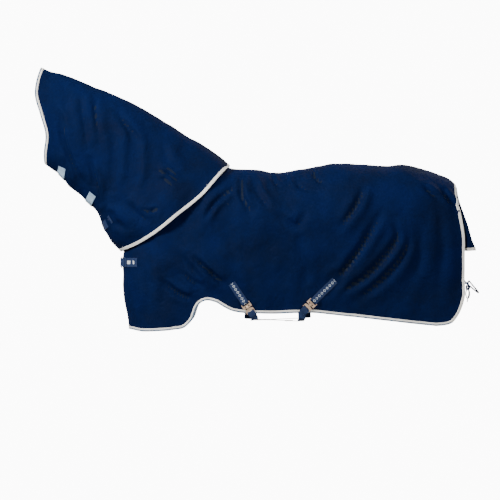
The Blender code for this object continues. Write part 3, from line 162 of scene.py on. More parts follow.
# Routes of the straps: place in mm, then the direction across the strap
ROUTES = {
    "throat_tab_1": [(-1059.4, -76.5, 38.7, 0.74, -0.09, -0.66),
        (-1063.5, -61.3, 17.8, 0.73, -0.07, -0.68), (-1067.5, -46, -3, 0.71, -0.05, -0.7),
        (-1068.2, -32.1, -9.5, 0.7, -0.03, -0.71), (-1068.7, -18.1, -15.9, 0.7, 0, -0.72),
        (-1068.8, -12.2, -16.8, 0.7, 0, -0.72), (-1068.9, -6.4, -17.5, 0.7, 0, -0.72),
        (-1068.9, 6.4, -17.5, 0.7, 0, -0.72), (-1068.8, 12.2, -16.8, 0.7, 0, -0.72),
        (-1068.7, 18.1, -15.9, 0.7, 0, -0.72), (-1068.2, 32.1, -9.5, 0.7, 0.03, -0.71),
        (-1067.5, 46, -3, 0.71, 0.05, -0.7), (-1062.9, 57.8, 16.3, 0.73, 0.07, -0.68),
        (-1060.4, 67.1, 29.2, 0.74, 0.08, -0.67)],
    "throat_patch_1": [(-1059.3, -70.6, 34.5, 0.74, -0.08, -0.67),
        (-1062.7, -57.5, 16.5, 0.73, -0.07, -0.68), (-1066.4, -44.8, -1.9, 0.71, -0.05, -0.7),
        (-1066.9, -31.2, -8.2, 0.7, -0.03, -0.71), (-1067.3, -21.6, -12.7, 0.7, -0.01, -0.72)],
    "throat_tab_2": [(-879.1, -106.8, -116.6, 0.75, -0.16, -0.64),
        (-890.7, -85.4, -136.9, 0.74, -0.13, -0.66), (-902.3, -63.9, -157.1, 0.73, -0.1, -0.68),
        (-906, -41, -163.7, 0.73, -0.05, -0.68), (-909.5, -18, -170.3, 0.72, 0, -0.69),
        (-909.8, -12.1, -170.7, 0.72, 0, -0.69), (-910, -6.2, -171.1, 0.72, 0, -0.69),
        (-910, 6.2, -171.1, 0.72, 0, -0.69), (-909.8, 12.1, -170.7, 0.72, 0, -0.69),
        (-909.5, 18, -170.3, 0.72, 0, -0.69), (-906, 41, -163.7, 0.73, 0.05, -0.68),
        (-902.3, 63.9, -157.1, 0.73, 0.1, -0.68), (-890.9, 81.2, -138.4, 0.74, 0.13, -0.66),
        (-883.7, 94.5, -125.9, 0.75, 0.15, -0.65)],
    "throat_patch_2": [(-880.6, -99.4, -120.8, 0.75, -0.16, -0.65),
        (-890.7, -80.9, -138.2, 0.74, -0.13, -0.66), (-901.1, -62.8, -156, 0.73, -0.1, -0.68),
        (-904.6, -40.1, -162.5, 0.73, -0.05, -0.68), (-907.1, -24.3, -167.1, 0.72, -0.02, -0.69)],
    "throat_tab_3": [(-771.6, -136.6, -260.9, 0.49, -0.16, -0.86),
        (-791.2, -109.1, -279, 0.46, -0.13, -0.88), (-810.7, -81.5, -297.1, 0.42, -0.1, -0.9),
        (-817.2, -49.7, -303.1, 0.41, -0.05, -0.91), (-823.7, -17.9, -309.1, 0.4, 0, -0.92),
        (-823.9, -12, -309.3, 0.4, 0, -0.92), (-824.1, -6.2, -309.4, 0.4, 0, -0.92),
        (-824.1, 6.2, -309.4, 0.4, 0, -0.92), (-823.9, 12, -309.3, 0.4, 0, -0.92),
        (-823.7, 17.9, -309.1, 0.4, 0, -0.92), (-817.2, 49.7, -303.1, 0.41, 0.05, -0.91),
        (-810.7, 81.5, -297.1, 0.42, 0.1, -0.9), (-792.1, 104.2, -280.6, 0.45, 0.13, -0.88),
        (-780, 121.3, -269.4, 0.47, 0.15, -0.87)],
    "throat_patch_3": [(-774.9, -127.8, -264.8, 0.48, -0.15, -0.86),
        (-791.8, -104, -280.5, 0.45, -0.13, -0.88), (-809.1, -80.5, -296.4, 0.42, -0.1, -0.9),
        (-815.6, -49, -302.3, 0.41, -0.05, -0.91), (-820, -26.9, -306.4, 0.4, -0.02, -0.91)],
    "chest_strap_upper": [(-603.3, -170, -394.4, 0.15, 0, 0.99), (-608, -165.2, -394.4, 0.15, 0, 0.99),
        (-617, -163.4, -393.5, 0.15, 0, 0.99), (-656.8, -122.5, -393.4, 0.15, 0, 0.99),
        (-670, -98.3, -393.4, 0.15, 0, 0.99), (-680.6, -78.3, -393.4, 0.15, 0, 0.99),
        (-689.9, -57.9, -393.3, 0.15, 0, 0.99), (-699, -34, -393.7, 0.15, 0, 0.99),
        (-699, -22, -393.7, 0.15, 0, 0.99), (-699, -16.5, -393.7, 0.15, 0, 0.99),
        (-699.5, -14.7, -393.6, 0.15, 0, 0.99), (-700.8, -13.3, -393.4, 0.15, 0, 0.99),
        (-702.6, -12.8, -393.1, 0.15, 0, 0.99), (-704.5, -13.3, -392.8, 0.15, 0, 0.99),
        (-705.8, -14.7, -392.6, 0.15, 0, 0.99), (-706.3, -16.5, -392.6, 0.15, 0, 0.99),
        (-706.3, -22, -392.6, 0.15, 0, 0.99), (-703.4, -34, -393, 0.15, 0, 0.99),
        (-695.1, -51.7, -392.7, 0.15, 0, 0.99)],
    "chest_billet_upper": [(-603.3, 170, -394.4, 0.15, 0, 0.99), (-608, 165.2, -394.4, 0.15, 0, 0.99),
        (-617, 163.4, -393.5, 0.15, 0, 0.99), (-656.8, 122.5, -393.4, 0.15, 0, 0.99),
        (-670, 98.3, -393.4, 0.15, 0, 0.99), (-680.6, 78.3, -393.4, 0.15, 0, 0.99),
        (-689.9, 57.9, -393.3, 0.15, 0, 0.99), (-699, 34, -393.7, 0.15, 0, 0.99),
        (-698.8, 16.5, -393.7, 0.15, 0, 0.99), (-699.8, 10, -393.5, 0.15, 0, 0.99),
        (-703, 0, -393.1, 0.15, 0, 0.99), (-706, -8, -392.6, 0.15, 0, 0.99),
        (-708.7, -16.5, -392.2, 0.15, 0, 0.99), (-708.7, -24, -392.2, 0.15, 0, 0.99),
        (-706.5, -36, -392.5, 0.15, 0, 0.99), (-696.8, -54.6, -392.3, 0.15, 0, 0.99),
        (-692.2, -62.1, -392.8, 0.15, 0, 0.99), (-687.9, -70, -393, 0.15, 0, 0.99),
        (-679.9, -84.5, -393, 0.15, 0, 0.99), (-672.1, -99.1, -393, 0.15, 0, 0.99),
        (-665.3, -111.6, -393, 0.15, 0, 0.99)],
    "chest_strap_lower": [(-618.9, -178.3, -513.1, 0.01, 0, 1), (-623.6, -173.3, -513.1, 0.01, 0, 1),
        (-630.7, -169, -513, 0.01, 0, 1), (-669.8, -126.6, -513.1, 0.01, 0, 1),
        (-682.7, -101.4, -513.1, 0.01, 0, 1), (-695.4, -76.6, -513.1, 0.01, 0, 1),
        (-703.2, -56.4, -513, 0.01, 0, 1), (-711.7, -34, -513.2, 0.01, 0, 1),
        (-711.7, -22, -513.2, 0.01, 0, 1), (-711.7, -16.5, -513.2, 0.01, 0, 1),
        (-712.2, -14.7, -513.2, 0.01, 0, 1), (-713.6, -13.3, -513.2, 0.01, 0, 1),
        (-715.4, -12.8, -513.2, 0.01, 0, 1), (-717.3, -13.3, -513.2, 0.01, 0, 1),
        (-718.7, -14.7, -513.2, 0.01, 0, 1), (-719.1, -16.5, -513.2, 0.01, 0, 1),
        (-719.1, -22, -513.2, 0.01, 0, 1), (-716.2, -34, -513.2, 0.01, 0, 1),
        (-708.3, -50.4, -512.9, 0.01, 0, 1)],
    "chest_billet_lower": [(-618.9, 178.3, -513.1, 0.01, 0, 1), (-623.6, 173.3, -513.1, 0.01, 0, 1),
        (-630.7, 169, -513, 0.01, 0, 1), (-669.8, 126.6, -513.1, 0.01, 0, 1),
        (-682.7, 101.4, -513.1, 0.01, 0, 1), (-695.4, 76.6, -513.1, 0.01, 0, 1),
        (-703.2, 56.4, -513, 0.01, 0, 1), (-711.7, 34, -513.2, 0.01, 0, 1),
        (-711.5, 16.5, -513.2, 0.01, 0, 1), (-712.5, 10, -513.2, 0.01, 0, 1),
        (-715.8, 0, -513.2, 0.01, 0, 1), (-718.8, -8, -513.2, 0.01, 0, 1),
        (-721.5, -16.5, -513.2, 0.01, 0, 1), (-721.5, -24, -513.2, 0.01, 0, 1),
        (-719.3, -36, -513.2, 0.01, 0, 1), (-710.1, -53.1, -512.8, 0.01, 0, 1),
        (-705.6, -60.6, -512.9, 0.01, 0, 1), (-702.3, -68.3, -513, 0.01, 0, 1),
        (-694.9, -82.6, -513, 0.01, 0, 1), (-687.5, -96.9, -513, 0.01, 0, 1),
        (-681.2, -109.2, -513, 0.01, 0, 1)],
    "reflective_strip": [(-633.6, -168.1, -513, 0, 0, 1), (-651.6, -148.8, -513, 0, 0, 1),
        (-671, -127.4, -513, 0, 0, 1), (-676.7, -116.3, -513, 0, 0, 1)],
    "surcingle_stub_front": [(-69.7, -277.9, -632.2, 0.83, -0.07, 0.56),
        (-63.5, -277.8, -641.4, 0.83, -0.07, 0.56), (-50.5, -280.2, -661.1, 0.83, -0.07, 0.56),
        (-35, -280.1, -684.2, 0.83, -0.07, 0.56), (-20.2, -279.9, -706.1, 0.83, -0.07, 0.56),
        (-6.3, -279.7, -726.8, 0.83, -0.07, 0.56), (1.9, -283.2, -739.4, 0.83, -0.07, 0.56),
        (7.5, -283.1, -747.7, 0.83, -0.07, 0.56), (8.5, -283.6, -749.2, 0.83, -0.07, 0.56),
        (9.1, -284.9, -750.3, 0.83, -0.07, 0.56), (9.3, -286.7, -750.8, 0.83, -0.07, 0.56),
        (8.9, -288.5, -750.5, 0.83, -0.07, 0.56), (8.1, -289.8, -749.5, 0.83, -0.07, 0.56),
        (7.1, -290.3, -748, 0.83, -0.07, 0.56), (1.6, -289.6, -739.7, 0.83, -0.07, 0.56),
        (-5, -287.3, -729.6, 0.83, -0.07, 0.56)],
    "belly_strap_front": [(54.7, -288.5, -818.4, 0.83, -0.07, 0.56),
        (46.8, -289.8, -806.9, 0.83, -0.07, 0.56), (40.1, -289.9, -796.9, 0.83, -0.07, 0.56),
        (39.1, -289.4, -795.4, 0.83, -0.07, 0.56), (38.4, -288.1, -794.3, 0.83, -0.07, 0.56),
        (38.3, -286.3, -793.8, 0.83, -0.07, 0.56), (38.6, -284.5, -794.1, 0.83, -0.07, 0.56),
        (39.4, -283.2, -795.1, 0.83, -0.07, 0.56), (40.5, -282.7, -796.6, 0.83, -0.07, 0.56),
        (47.2, -282.6, -806.5, 0.83, -0.07, 0.56), (55.1, -281.3, -818.1, 0.87, -0.07, 0.49),
        (61.8, -279.2, -832.1, 0.98, -0.05, 0.21), (60.7, -275.3, -843.1, 0.98, -0.07, 0.2),
        (66.3, -251.3, -844.1, 0.88, -0.47, 0), (142.1, -124.4, -844.1, 0.86, -0.51, 0),
        (217.9, 2.4, -844.1, 0.86, -0.51, 0), (293.7, 129.3, -844.1, 0.86, -0.51, 0),
        (369.5, 256.2, -844.1, 0.88, -0.48, 0), (378, 282.2, -841.1, 1, -0.1, 0.03),
        (371.5, 298.1, -763.4, 0.98, 0.02, -0.2), (400, 290.7, -735.3, 0.7, -0.03, -0.71),
        (430.5, 292.3, -705.2, 0.7, -0.03, -0.71), (461, 294, -675.1, 0.7, -0.03, -0.71),
        (491.5, 295.7, -645.1, 0.7, -0.03, -0.71), (512.2, 294, -624.5, 0.7, -0.03, -0.71),
        (522, 294.5, -614.8, 0.7, -0.03, -0.71)],
    "surcingle_stub_rear": [(522, -294.5, -614.8, 0.7, 0.03, -0.71),
        (512.2, -294, -624.5, 0.7, 0.03, -0.71), (491.5, -295.5, -645.1, 0.7, 0.03, -0.71),
        (467.1, -294.2, -669.1, 0.7, 0.03, -0.71), (443.9, -292.9, -692, 0.7, 0.03, -0.71),
        (421.9, -291.7, -713.6, 0.7, 0.03, -0.71), (407, -294.5, -728.5, 0.7, 0.03, -0.71),
        (399.9, -294.1, -735.5, 0.7, 0.03, -0.71), (398.6, -294.5, -736.8, 0.7, 0.03, -0.71),
        (397.7, -295.7, -737.7, 0.7, 0.03, -0.71), (397.3, -297.5, -738.2, 0.7, 0.03, -0.71),
        (397.7, -299.3, -737.9, 0.7, 0.03, -0.71), (398.6, -300.7, -737.1, 0.7, 0.03, -0.71),
        (399.9, -301.3, -735.8, 0.7, 0.03, -0.71), (407, -300.9, -728.8, 0.7, 0.03, -0.71),
        (415.5, -299, -720.2, 0.7, 0.03, -0.71)],
    "belly_strap_rear": [(339.4, -296.6, -795.4, 0.7, 0.03, -0.71),
        (349.4, -298.4, -785.6, 0.7, 0.03, -0.71), (357.9, -298.9, -777.2, 0.7, 0.03, -0.71),
        (359.2, -298.5, -775.9, 0.7, 0.03, -0.71), (360.1, -297.2, -774.9, 0.7, 0.03, -0.71),
        (360.5, -295.4, -774.5, 0.7, 0.03, -0.71), (360.2, -293.6, -774.8, 0.7, 0.03, -0.71),
        (359.2, -292.2, -775.6, 0.7, 0.03, -0.71), (358, -291.7, -776.9, 0.7, 0.03, -0.71),
        (349.4, -291.2, -785.3, 0.7, 0.03, -0.71), (339.5, -289.4, -795, 0.77, 0.01, -0.64),
        (330.9, -286.9, -807.5, 0.98, 0, -0.18), (332.4, -283.4, -834.4, 0.99, 0.09, -0.07),
        (325.2, -259.4, -849.8, 0.88, 0.48, 0), (250.8, -133.2, -849.8, 0.86, 0.51, 0),
        (176.3, -7.1, -849.8, 0.86, 0.51, 0), (101.8, 119.1, -849.8, 0.86, 0.51, 0),
        (27.4, 245.2, -849.8, 0.88, 0.47, 0), (20.7, 271.2, -846.8, 0.99, 0.09, -0.09),
        (30.1, 287.1, -780.7, 0.99, 0.04, 0.13), (7.7, 279.7, -747.5, 0.82, 0.07, 0.56),
        (-11.7, 280, -718.7, 0.83, 0.07, 0.56), (-31.1, 280.2, -689.9, 0.83, 0.07, 0.56),
        (-50.5, 280.4, -661.2, 0.83, 0.07, 0.56), (-63.5, 277.8, -641.4, 0.83, 0.07, 0.56),
        (-69.7, 277.9, -632.2, 0.83, 0.07, 0.56)],
}

# Keepers and loops: centre, across, out, along, half width, half height, thickness, length
BANDS = {
    "chest_keeper_upper": ((-0.68, -0.0819, -0.3932), (0.1455, 0, 0.9894), (-0.8719, -0.4674, 0.1282),
                           (-0.4725, 0.8813, -0.0011), 0.0212, 0.0027, 0.0012, 0.014),
    "chest_keeper_lower": ((-0.6948, -0.0801, -0.513), (0.0054, 0, 1), (-0.8908, -0.4544, 0.0048),
                           (-0.4544, 0.8908, 0), 0.0272, 0.0027, 0.0012, 0.014),
    "tail_loop_near": ((1.2847, -0.1937, -0.6317), (1, 0, 0), (0, 1, 0), (0, 0, 1), 0.0075, 0.0048,
                       0.0012, 0.014),
    "tail_loop_off": ((1.2847, 0.1937, -0.6317), (1, 0, 0), (0, 1, 0), (0, 0, 1), 0.0075, 0.0048,
                      0.0012, 0.014),
}

# Folds of the body rug: side view route in metres, depth and half width in mm
BODY_FOLDS = [
    ([(-0.012, -0.005), (-0.014, -0.120), (0.040, -0.228)], 11, 15),
    ([(-0.046, -0.070), (-0.168, -0.171), (-0.222, -0.262)], 9, 15),
    ([(0.050, -0.030), (0.085, -0.120), (0.150, -0.210)], 8, 18),
    ([(0.300, -0.010), (0.330, -0.075), (0.440, -0.110)], 8, 18),
    ([(0.165, -0.230), (0.300, -0.300), (0.360, -0.210)], 6, 22),
    ([(-0.313, -0.467), (-0.190, -0.575), (-0.093, -0.655)], 11, 17),
    ([(-0.360, -0.563), (-0.300, -0.620), (-0.244, -0.655)], 9, 15),
    ([(-0.470, -0.621), (-0.380, -0.690), (-0.302, -0.725)], 9, 16),
    ([(-0.440, -0.430), (-0.300, -0.560), (-0.205, -0.700)], 6, 26),
    ([(0.690, -0.075), (0.640, -0.190), (0.557, -0.307)], 12, 20),
    ([(0.789, -0.220), (0.673, -0.423), (0.557, -0.580), (0.470, -0.680)], 14, 22),
    ([(0.858, -0.261), (0.870, -0.394), (0.713, -0.580), (0.557, -0.679)], 13, 22),
    ([(0.900, -0.240), (0.930, -0.400), (0.840, -0.560), (0.640, -0.730)], 8, 26),
    ([(0.980, -0.300), (1.000, -0.480), (0.930, -0.700)], 5, 30),
    ([(1.038, -0.080), (1.080, -0.115), (1.125, -0.150)], 9, 14),
    ([(1.148, -0.100), (1.180, -0.150), (1.224, -0.200)], 14, 13),
    ([(1.120, -0.230), (1.135, -0.450), (1.120, -0.700)], 5, 30),
    ([(0.151, 0.020), (0.175, -0.040), (0.215, -0.085)], 5, 11),
    ([(0.235, 0.020), (0.250, -0.040), (0.262, -0.070)], 5, 10),
    ([(0.400, 0.030), (0.415, -0.030), (0.470, -0.060)], 5, 12),
    ([(0.020, -0.560), (0.060, -0.680), (0.110, -0.790)], 4, 26),
    ([(-0.120, -0.250), (-0.080, -0.400), (0.020, -0.520)], 4, 32),
    ([(0.300, -0.420), (0.360, -0.560), (0.330, -0.660)], 5, 28),
    ([(-0.560, -0.480), (-0.545, -0.650), (-0.560, -0.830)], 4, 24),
]
# Folds of the neck cover
NECK_FOLDS = [
    ([(-1.067, 0.261), (-1.015, 0.110), (-0.945, -0.046)], 11, 17),
    ([(-1.110, 0.400), (-1.060, 0.300), (-1.040, 0.180)], 7, 17),
    ([(-0.893, 0.080), (-0.862, -0.050), (-0.841, -0.168)], 11, 15),
    ([(-0.737, 0.365), (-0.672, 0.265), (-0.603, 0.174)], 8, 20),
    ([(-0.870, 0.430), (-0.862, 0.330), (-0.845, 0.220)], 8, 19),
    ([(-0.655, 0.275), (-0.626, 0.080), (-0.655, -0.095)], 8, 24),
    ([(-0.960, 0.470), (-0.930, 0.330), (-0.905, 0.150)], 7, 24),
    ([(-0.760, 0.250), (-0.745, 0.080), (-0.770, -0.090)], 7, 24),
    ([(-0.505, 0.023), (-0.440, -0.005), (-0.375, -0.052)], 5, 9),
    ([(-0.500, -0.020), (-0.450, -0.042), (-0.410, -0.075)], 4, 8),
    ([(-0.470, 0.045), (-0.420, 0.010), (-0.372, -0.018)], 4, 8),
    ([(-0.586, -0.205), (-0.540, -0.220), (-0.493, -0.205)], 6, 11),
    ([(-0.818, -0.232), (-0.760, -0.265), (-0.679, -0.331)], 12, 21),
    ([(-0.700, -0.160), (-0.620, -0.230), (-0.540, -0.290)], 6, 24),
    ([(-0.480, 0.180), (-0.430, 0.060), (-0.330, -0.030)], 5, 24),
]

# Studio lights: place, what they face, size in metres and power in watts
LIGHTS = [
    ("key", (-5.3, -3.9, 3.0), (0.1, 0.0, -0.4), (1.6, 1.6), 900.0),
    ("fill", (5.0, -7.0, -0.2), (0.2, 0.0, -0.5), (2.2, 2.4), 390.0),
    ("top", (0.4, -1.2, 4.0), (0.1, 0.0, -0.3), (2.6, 1.4), 90.0),
    ("rim", (3.0, 3.6, 2.6), (0.2, 0.0, -0.2), (2.0, 1.6), 80.0),
    ("off", (-2.0, 7.0, 1.4), (0.1, 0.0, -0.4), (2.4, 2.0), 420.0),
]
# Where the tail cord hangs, and how bright the surround and the sky are
CORD_X, CORD_TOP = 1.2947, -0.6157
SURROUND_GLOW = 11.0
SKY_STRENGTH = 0.22


def linear(hex_colour):
    """Linear colour of an sRGB hex value."""
    parts = [int(hex_colour[k:k + 2], 16) / 255 for k in (1, 3, 5)]
    return [p / 12.92 if p <= 0.04045 else ((p + 0.055) / 1.055) ** 2.4 for p in parts] + [1.0]


def node(tree, kind, settings=None, links=None):
    """Add one node; settings are its own values or its sockets', and links feed its sockets."""
    made = tree.nodes.new(kind)
    for key, value in (settings or {}).items():
        if isinstance(key, str) and hasattr(made, key):
            setattr(made, key, value)
        else:
            made.inputs[key].default_value = value
    for key, source in (links or {}).items():
        tree.links.new(source, made.inputs[key])
    return made


def surface(name, colour, roughness, metallic=0.0, specular=0.5, sheen=0.0, sheen_roughness=0.5):
    """A new material with its shader set; gives back the material, its tree and its shader."""
    made = bpy.data.materials.new(name)
    made.use_nodes = True
    tree = made.node_tree
    shader = tree.nodes["Principled BSDF"]
    shader.inputs["Base Color"].default_value = linear(colour)
    shader.inputs["Roughness"].default_value = roughness
    shader.inputs["Metallic"].default_value = metallic
    shader.inputs["Specular IOR Level"].default_value = specular
    shader.inputs["Sheen Weight"].default_value = sheen
    shader.inputs["Sheen Roughness"].default_value = sheen_roughness
    made.diffuse_color = linear(colour)
    return made, tree, shader


def ramp(tree, fac, stops, interpolation="LINEAR"):
    """Colour ramp with its own stops; its colour output."""
    made = node(tree, "ShaderNodeValToRGB", None, {"Fac": fac})
    made.color_ramp.interpolation = interpolation
    for k, (place, colour) in enumerate(stops):
        stop = made.color_ramp.elements[k] if k < 2 else made.color_ramp.elements.new(place)
        stop.position = place
        stop.color = linear(colour)
    return made.outputs["Color"]


def woven(tree, spot, across, down):
    """Over and under height of a plain weave with these thread spacings in metres."""
    waves = []
    for axis, spacing in (("X", across), ("Y", down)):
        wave = node(tree, "ShaderNodeTexWave", {"bands_direction": axis, "Scale": 0.314159 / spacing,
                                                "Distortion": 0.35, "Detail": 1.0, "Detail Scale": 2.0},
                    {"Vector": spot})
        waves.append(wave.outputs["Fac"])
    return node(tree, "ShaderNodeMath", {"operation": "MULTIPLY"}, {0: waves[0], 1: waves[1]}).outputs[0]


def cloth_finish(name, light, dark, roughness, spacing, creases, sheen):
    """Woven cloth: a plain weave, soft creases and slightly uneven dye."""
    made, tree, shader = surface(name, light, roughness, specular=0.07, sheen=sheen, sheen_roughness=0.45)
    spot = node(tree, "ShaderNodeUVMap", {"uv_map": "cloth"}).outputs["UV"]
    solid = node(tree, "ShaderNodeTexCoord").outputs["Object"]
    weave = woven(tree, spot, spacing, spacing)
    dye = node(tree, "ShaderNodeTexNoise", {"Scale": 5.0, "Detail": 5.0, "Roughness": 0.6},
               {"Vector": solid}).outputs["Fac"]
    tint = ramp(tree, dye, [(0.34, dark), (0.66, light)])
    # The weave darkens the colour where its threads dip under: painted shade in the weave's hollows.
    thread = node(tree, "ShaderNodeMix", {"data_type": "RGBA", "blend_type": "MULTIPLY", 0: 0.35},
                  {6: tint, 7: ramp(tree, weave, [(0.0, "#8f8f8f"), (0.6, "#ffffff")])}).outputs[2]
    tree.links.new(thread, shader.inputs["Base Color"])
    rough = node(tree, "ShaderNodeMapRange", {3: roughness - 0.06, 4: roughness + 0.10}, {0: dye})
    tree.links.new(rough.outputs[0], shader.inputs["Roughness"])
    crumple = node(tree, "ShaderNodeTexNoise", {"Scale": 11.0, "Detail": 3.0, "Roughness": 0.55,
                                                "Distortion": 0.6}, {"Vector": solid}).outputs["Fac"]
    fine = node(tree, "ShaderNodeTexNoise", {"Scale": 60.0, "Detail": 3.0, "Roughness": 0.6},
                {"Vector": solid}).outputs["Fac"]
    soft = node(tree, "ShaderNodeBump", {"Strength": creases, "Distance": 0.012}, {"Height": crumple})
    small = node(tree, "ShaderNodeBump", {"Strength": creases * 0.5, "Distance": 0.0015},
                 {"Height": fine, "Normal": soft.outputs[0]})
    last = node(tree, "ShaderNodeBump", {"Strength": 0.45, "Distance": spacing * 0.3},
                {"Height": weave, "Normal": small.outputs[0]})
    tree.links.new(last.outputs[0], shader.inputs["Normal"])
    return made


def tape_finish(name, stops, spacing):
    """Grosgrain tape: ribs across its run, and stops of colour from its inner edge to its fold."""
    made, tree, shader = surface(name, stops[0][1], 0.74, specular=0.25, sheen=0.04)
    spot = node(tree, "ShaderNodeUVMap", {"uv_map": "cloth"}).outputs["UV"]
    parts = node(tree, "ShaderNodeSeparateXYZ", None, {0: spot})
    share = node(tree, "ShaderNodeMapRange", {2: 0.034}, {0: parts.outputs["Y"]}).outputs[0]
    wear = node(tree, "ShaderNodeTexNoise", {"Scale": 24.0, "Detail": 4.0}, {"Vector": spot}).outputs["Fac"]
    tint = ramp(tree, share, stops, "CONSTANT")
    worn = node(tree, "ShaderNodeMix", {"data_type": "RGBA", "blend_type": "MULTIPLY", 0: 0.5},
                {6: tint, 7: ramp(tree, wear, [(0.30, "#dedbd4"), (0.62, "#ffffff")])}).outputs[2]
    tree.links.new(worn, shader.inputs["Base Color"])
    ribs = node(tree, "ShaderNodeTexWave", {"bands_direction": "X", "Scale": 0.314159 / spacing,
                                            "Distortion": 0.2}, {"Vector": spot}).outputs["Fac"]
    bump = node(tree, "ShaderNodeBump", {"Strength": 0.5, "Distance": 0.0004}, {"Height": ribs})
    tree.links.new(bump.outputs[0], shader.inputs["Normal"])
    return made


def webbing_finish(name, light, dark, motif=None):
    """Woven webbing: a herringbone of fine ribs and, if asked, a pale lozenge row."""
    made, tree, shader = surface(name, light, 0.66, specular=0.3, sheen=0.05)
    spot = node(tree, "ShaderNodeUVMap", {"uv_map": "cloth"}).outputs["UV"]
    parts = node(tree, "ShaderNodeSeparateXYZ", None, {0: spot})
    away = node(tree, "ShaderNodeMath", {"operation": "ABSOLUTE"}, {0: parts.outputs["Y"]}).outputs[0]
    slant = node(tree, "ShaderNodeMath", {"operation": "ADD"}, {0: parts.outputs["X"], 1: away}).outputs[0]
    lean = node(tree, "ShaderNodeCombineXYZ", None, {0: slant, 1: parts.outputs["Y"]}).outputs[0]
    rib = node(tree, "ShaderNodeTexWave", {"bands_direction": "X", "Scale": 0.314159 / 0.0022},
               {"Vector": lean}).outputs["Fac"]
    warp = node(tree, "ShaderNodeTexWave", {"bands_direction": "Y", "Scale": 0.314159 / 0.0016},
                {"Vector": spot}).outputs["Fac"]
    height = node(tree, "ShaderNodeMath", {"operation": "ADD"}, {0: rib, 1: warp}).outputs[0]
    # The ribs are coloured dark in their hollows and light on their crowns: painted shade.
    tint = ramp(tree, rib, [(0.1, dark), (0.8, light)])
    if motif:
        beat = node(tree, "ShaderNodeMath", {"operation": "PINGPONG", 1: 0.0105}, {0: parts.outputs["X"]})
        total = node(tree, "ShaderNodeMath", {"operation": "ADD"}, {0: beat.outputs[0], 1: away}).outputs[0]
        rim = node(tree, "ShaderNodeMath", {"operation": "COMPARE", 1: 0.0070, 2: 0.0014}, {0: total})
        tint = node(tree, "ShaderNodeMix", {"data_type": "RGBA", 7: linear(motif)},
                    {0: rim.outputs[0], 6: tint}).outputs[2]
    tree.links.new(tint, shader.inputs["Base Color"])
    bump = node(tree, "ShaderNodeBump", {"Strength": 0.5, "Distance": 0.0005}, {"Height": height})
    tree.links.new(bump.outputs[0], shader.inputs["Normal"])
    return made


def grained(name, colour, other, roughness, scale, distance, metallic=0.0, voronoi=False, specular=0.5):
    """A finish whose grain comes from the solid itself, for metal, pile, pimpled tape and paint."""
    made, tree, shader = surface(name, colour, roughness, metallic, specular)
    spot = node(tree, "ShaderNodeTexCoord").outputs["Object"]
    kind = "ShaderNodeTexVoronoi" if voronoi else "ShaderNodeTexNoise"
    grain = node(tree, kind, {"Scale": scale}, {"Vector": spot}).outputs["Distance" if voronoi else "Fac"]
    tree.links.new(ramp(tree, grain, [(0.25, other), (0.70, colour)]), shader.inputs["Base Color"])
    rough = node(tree, "ShaderNodeMapRange", {3: roughness - 0.07, 4: roughness + 0.09}, {0: grain})
    tree.links.new(rough.outputs[0], shader.inputs["Roughness"])
    bump = node(tree, "ShaderNodeBump", {"Strength": 0.5, "Distance": distance}, {"Height": grain})
    tree.links.new(bump.outputs[0], shader.inputs["Normal"])
    return made


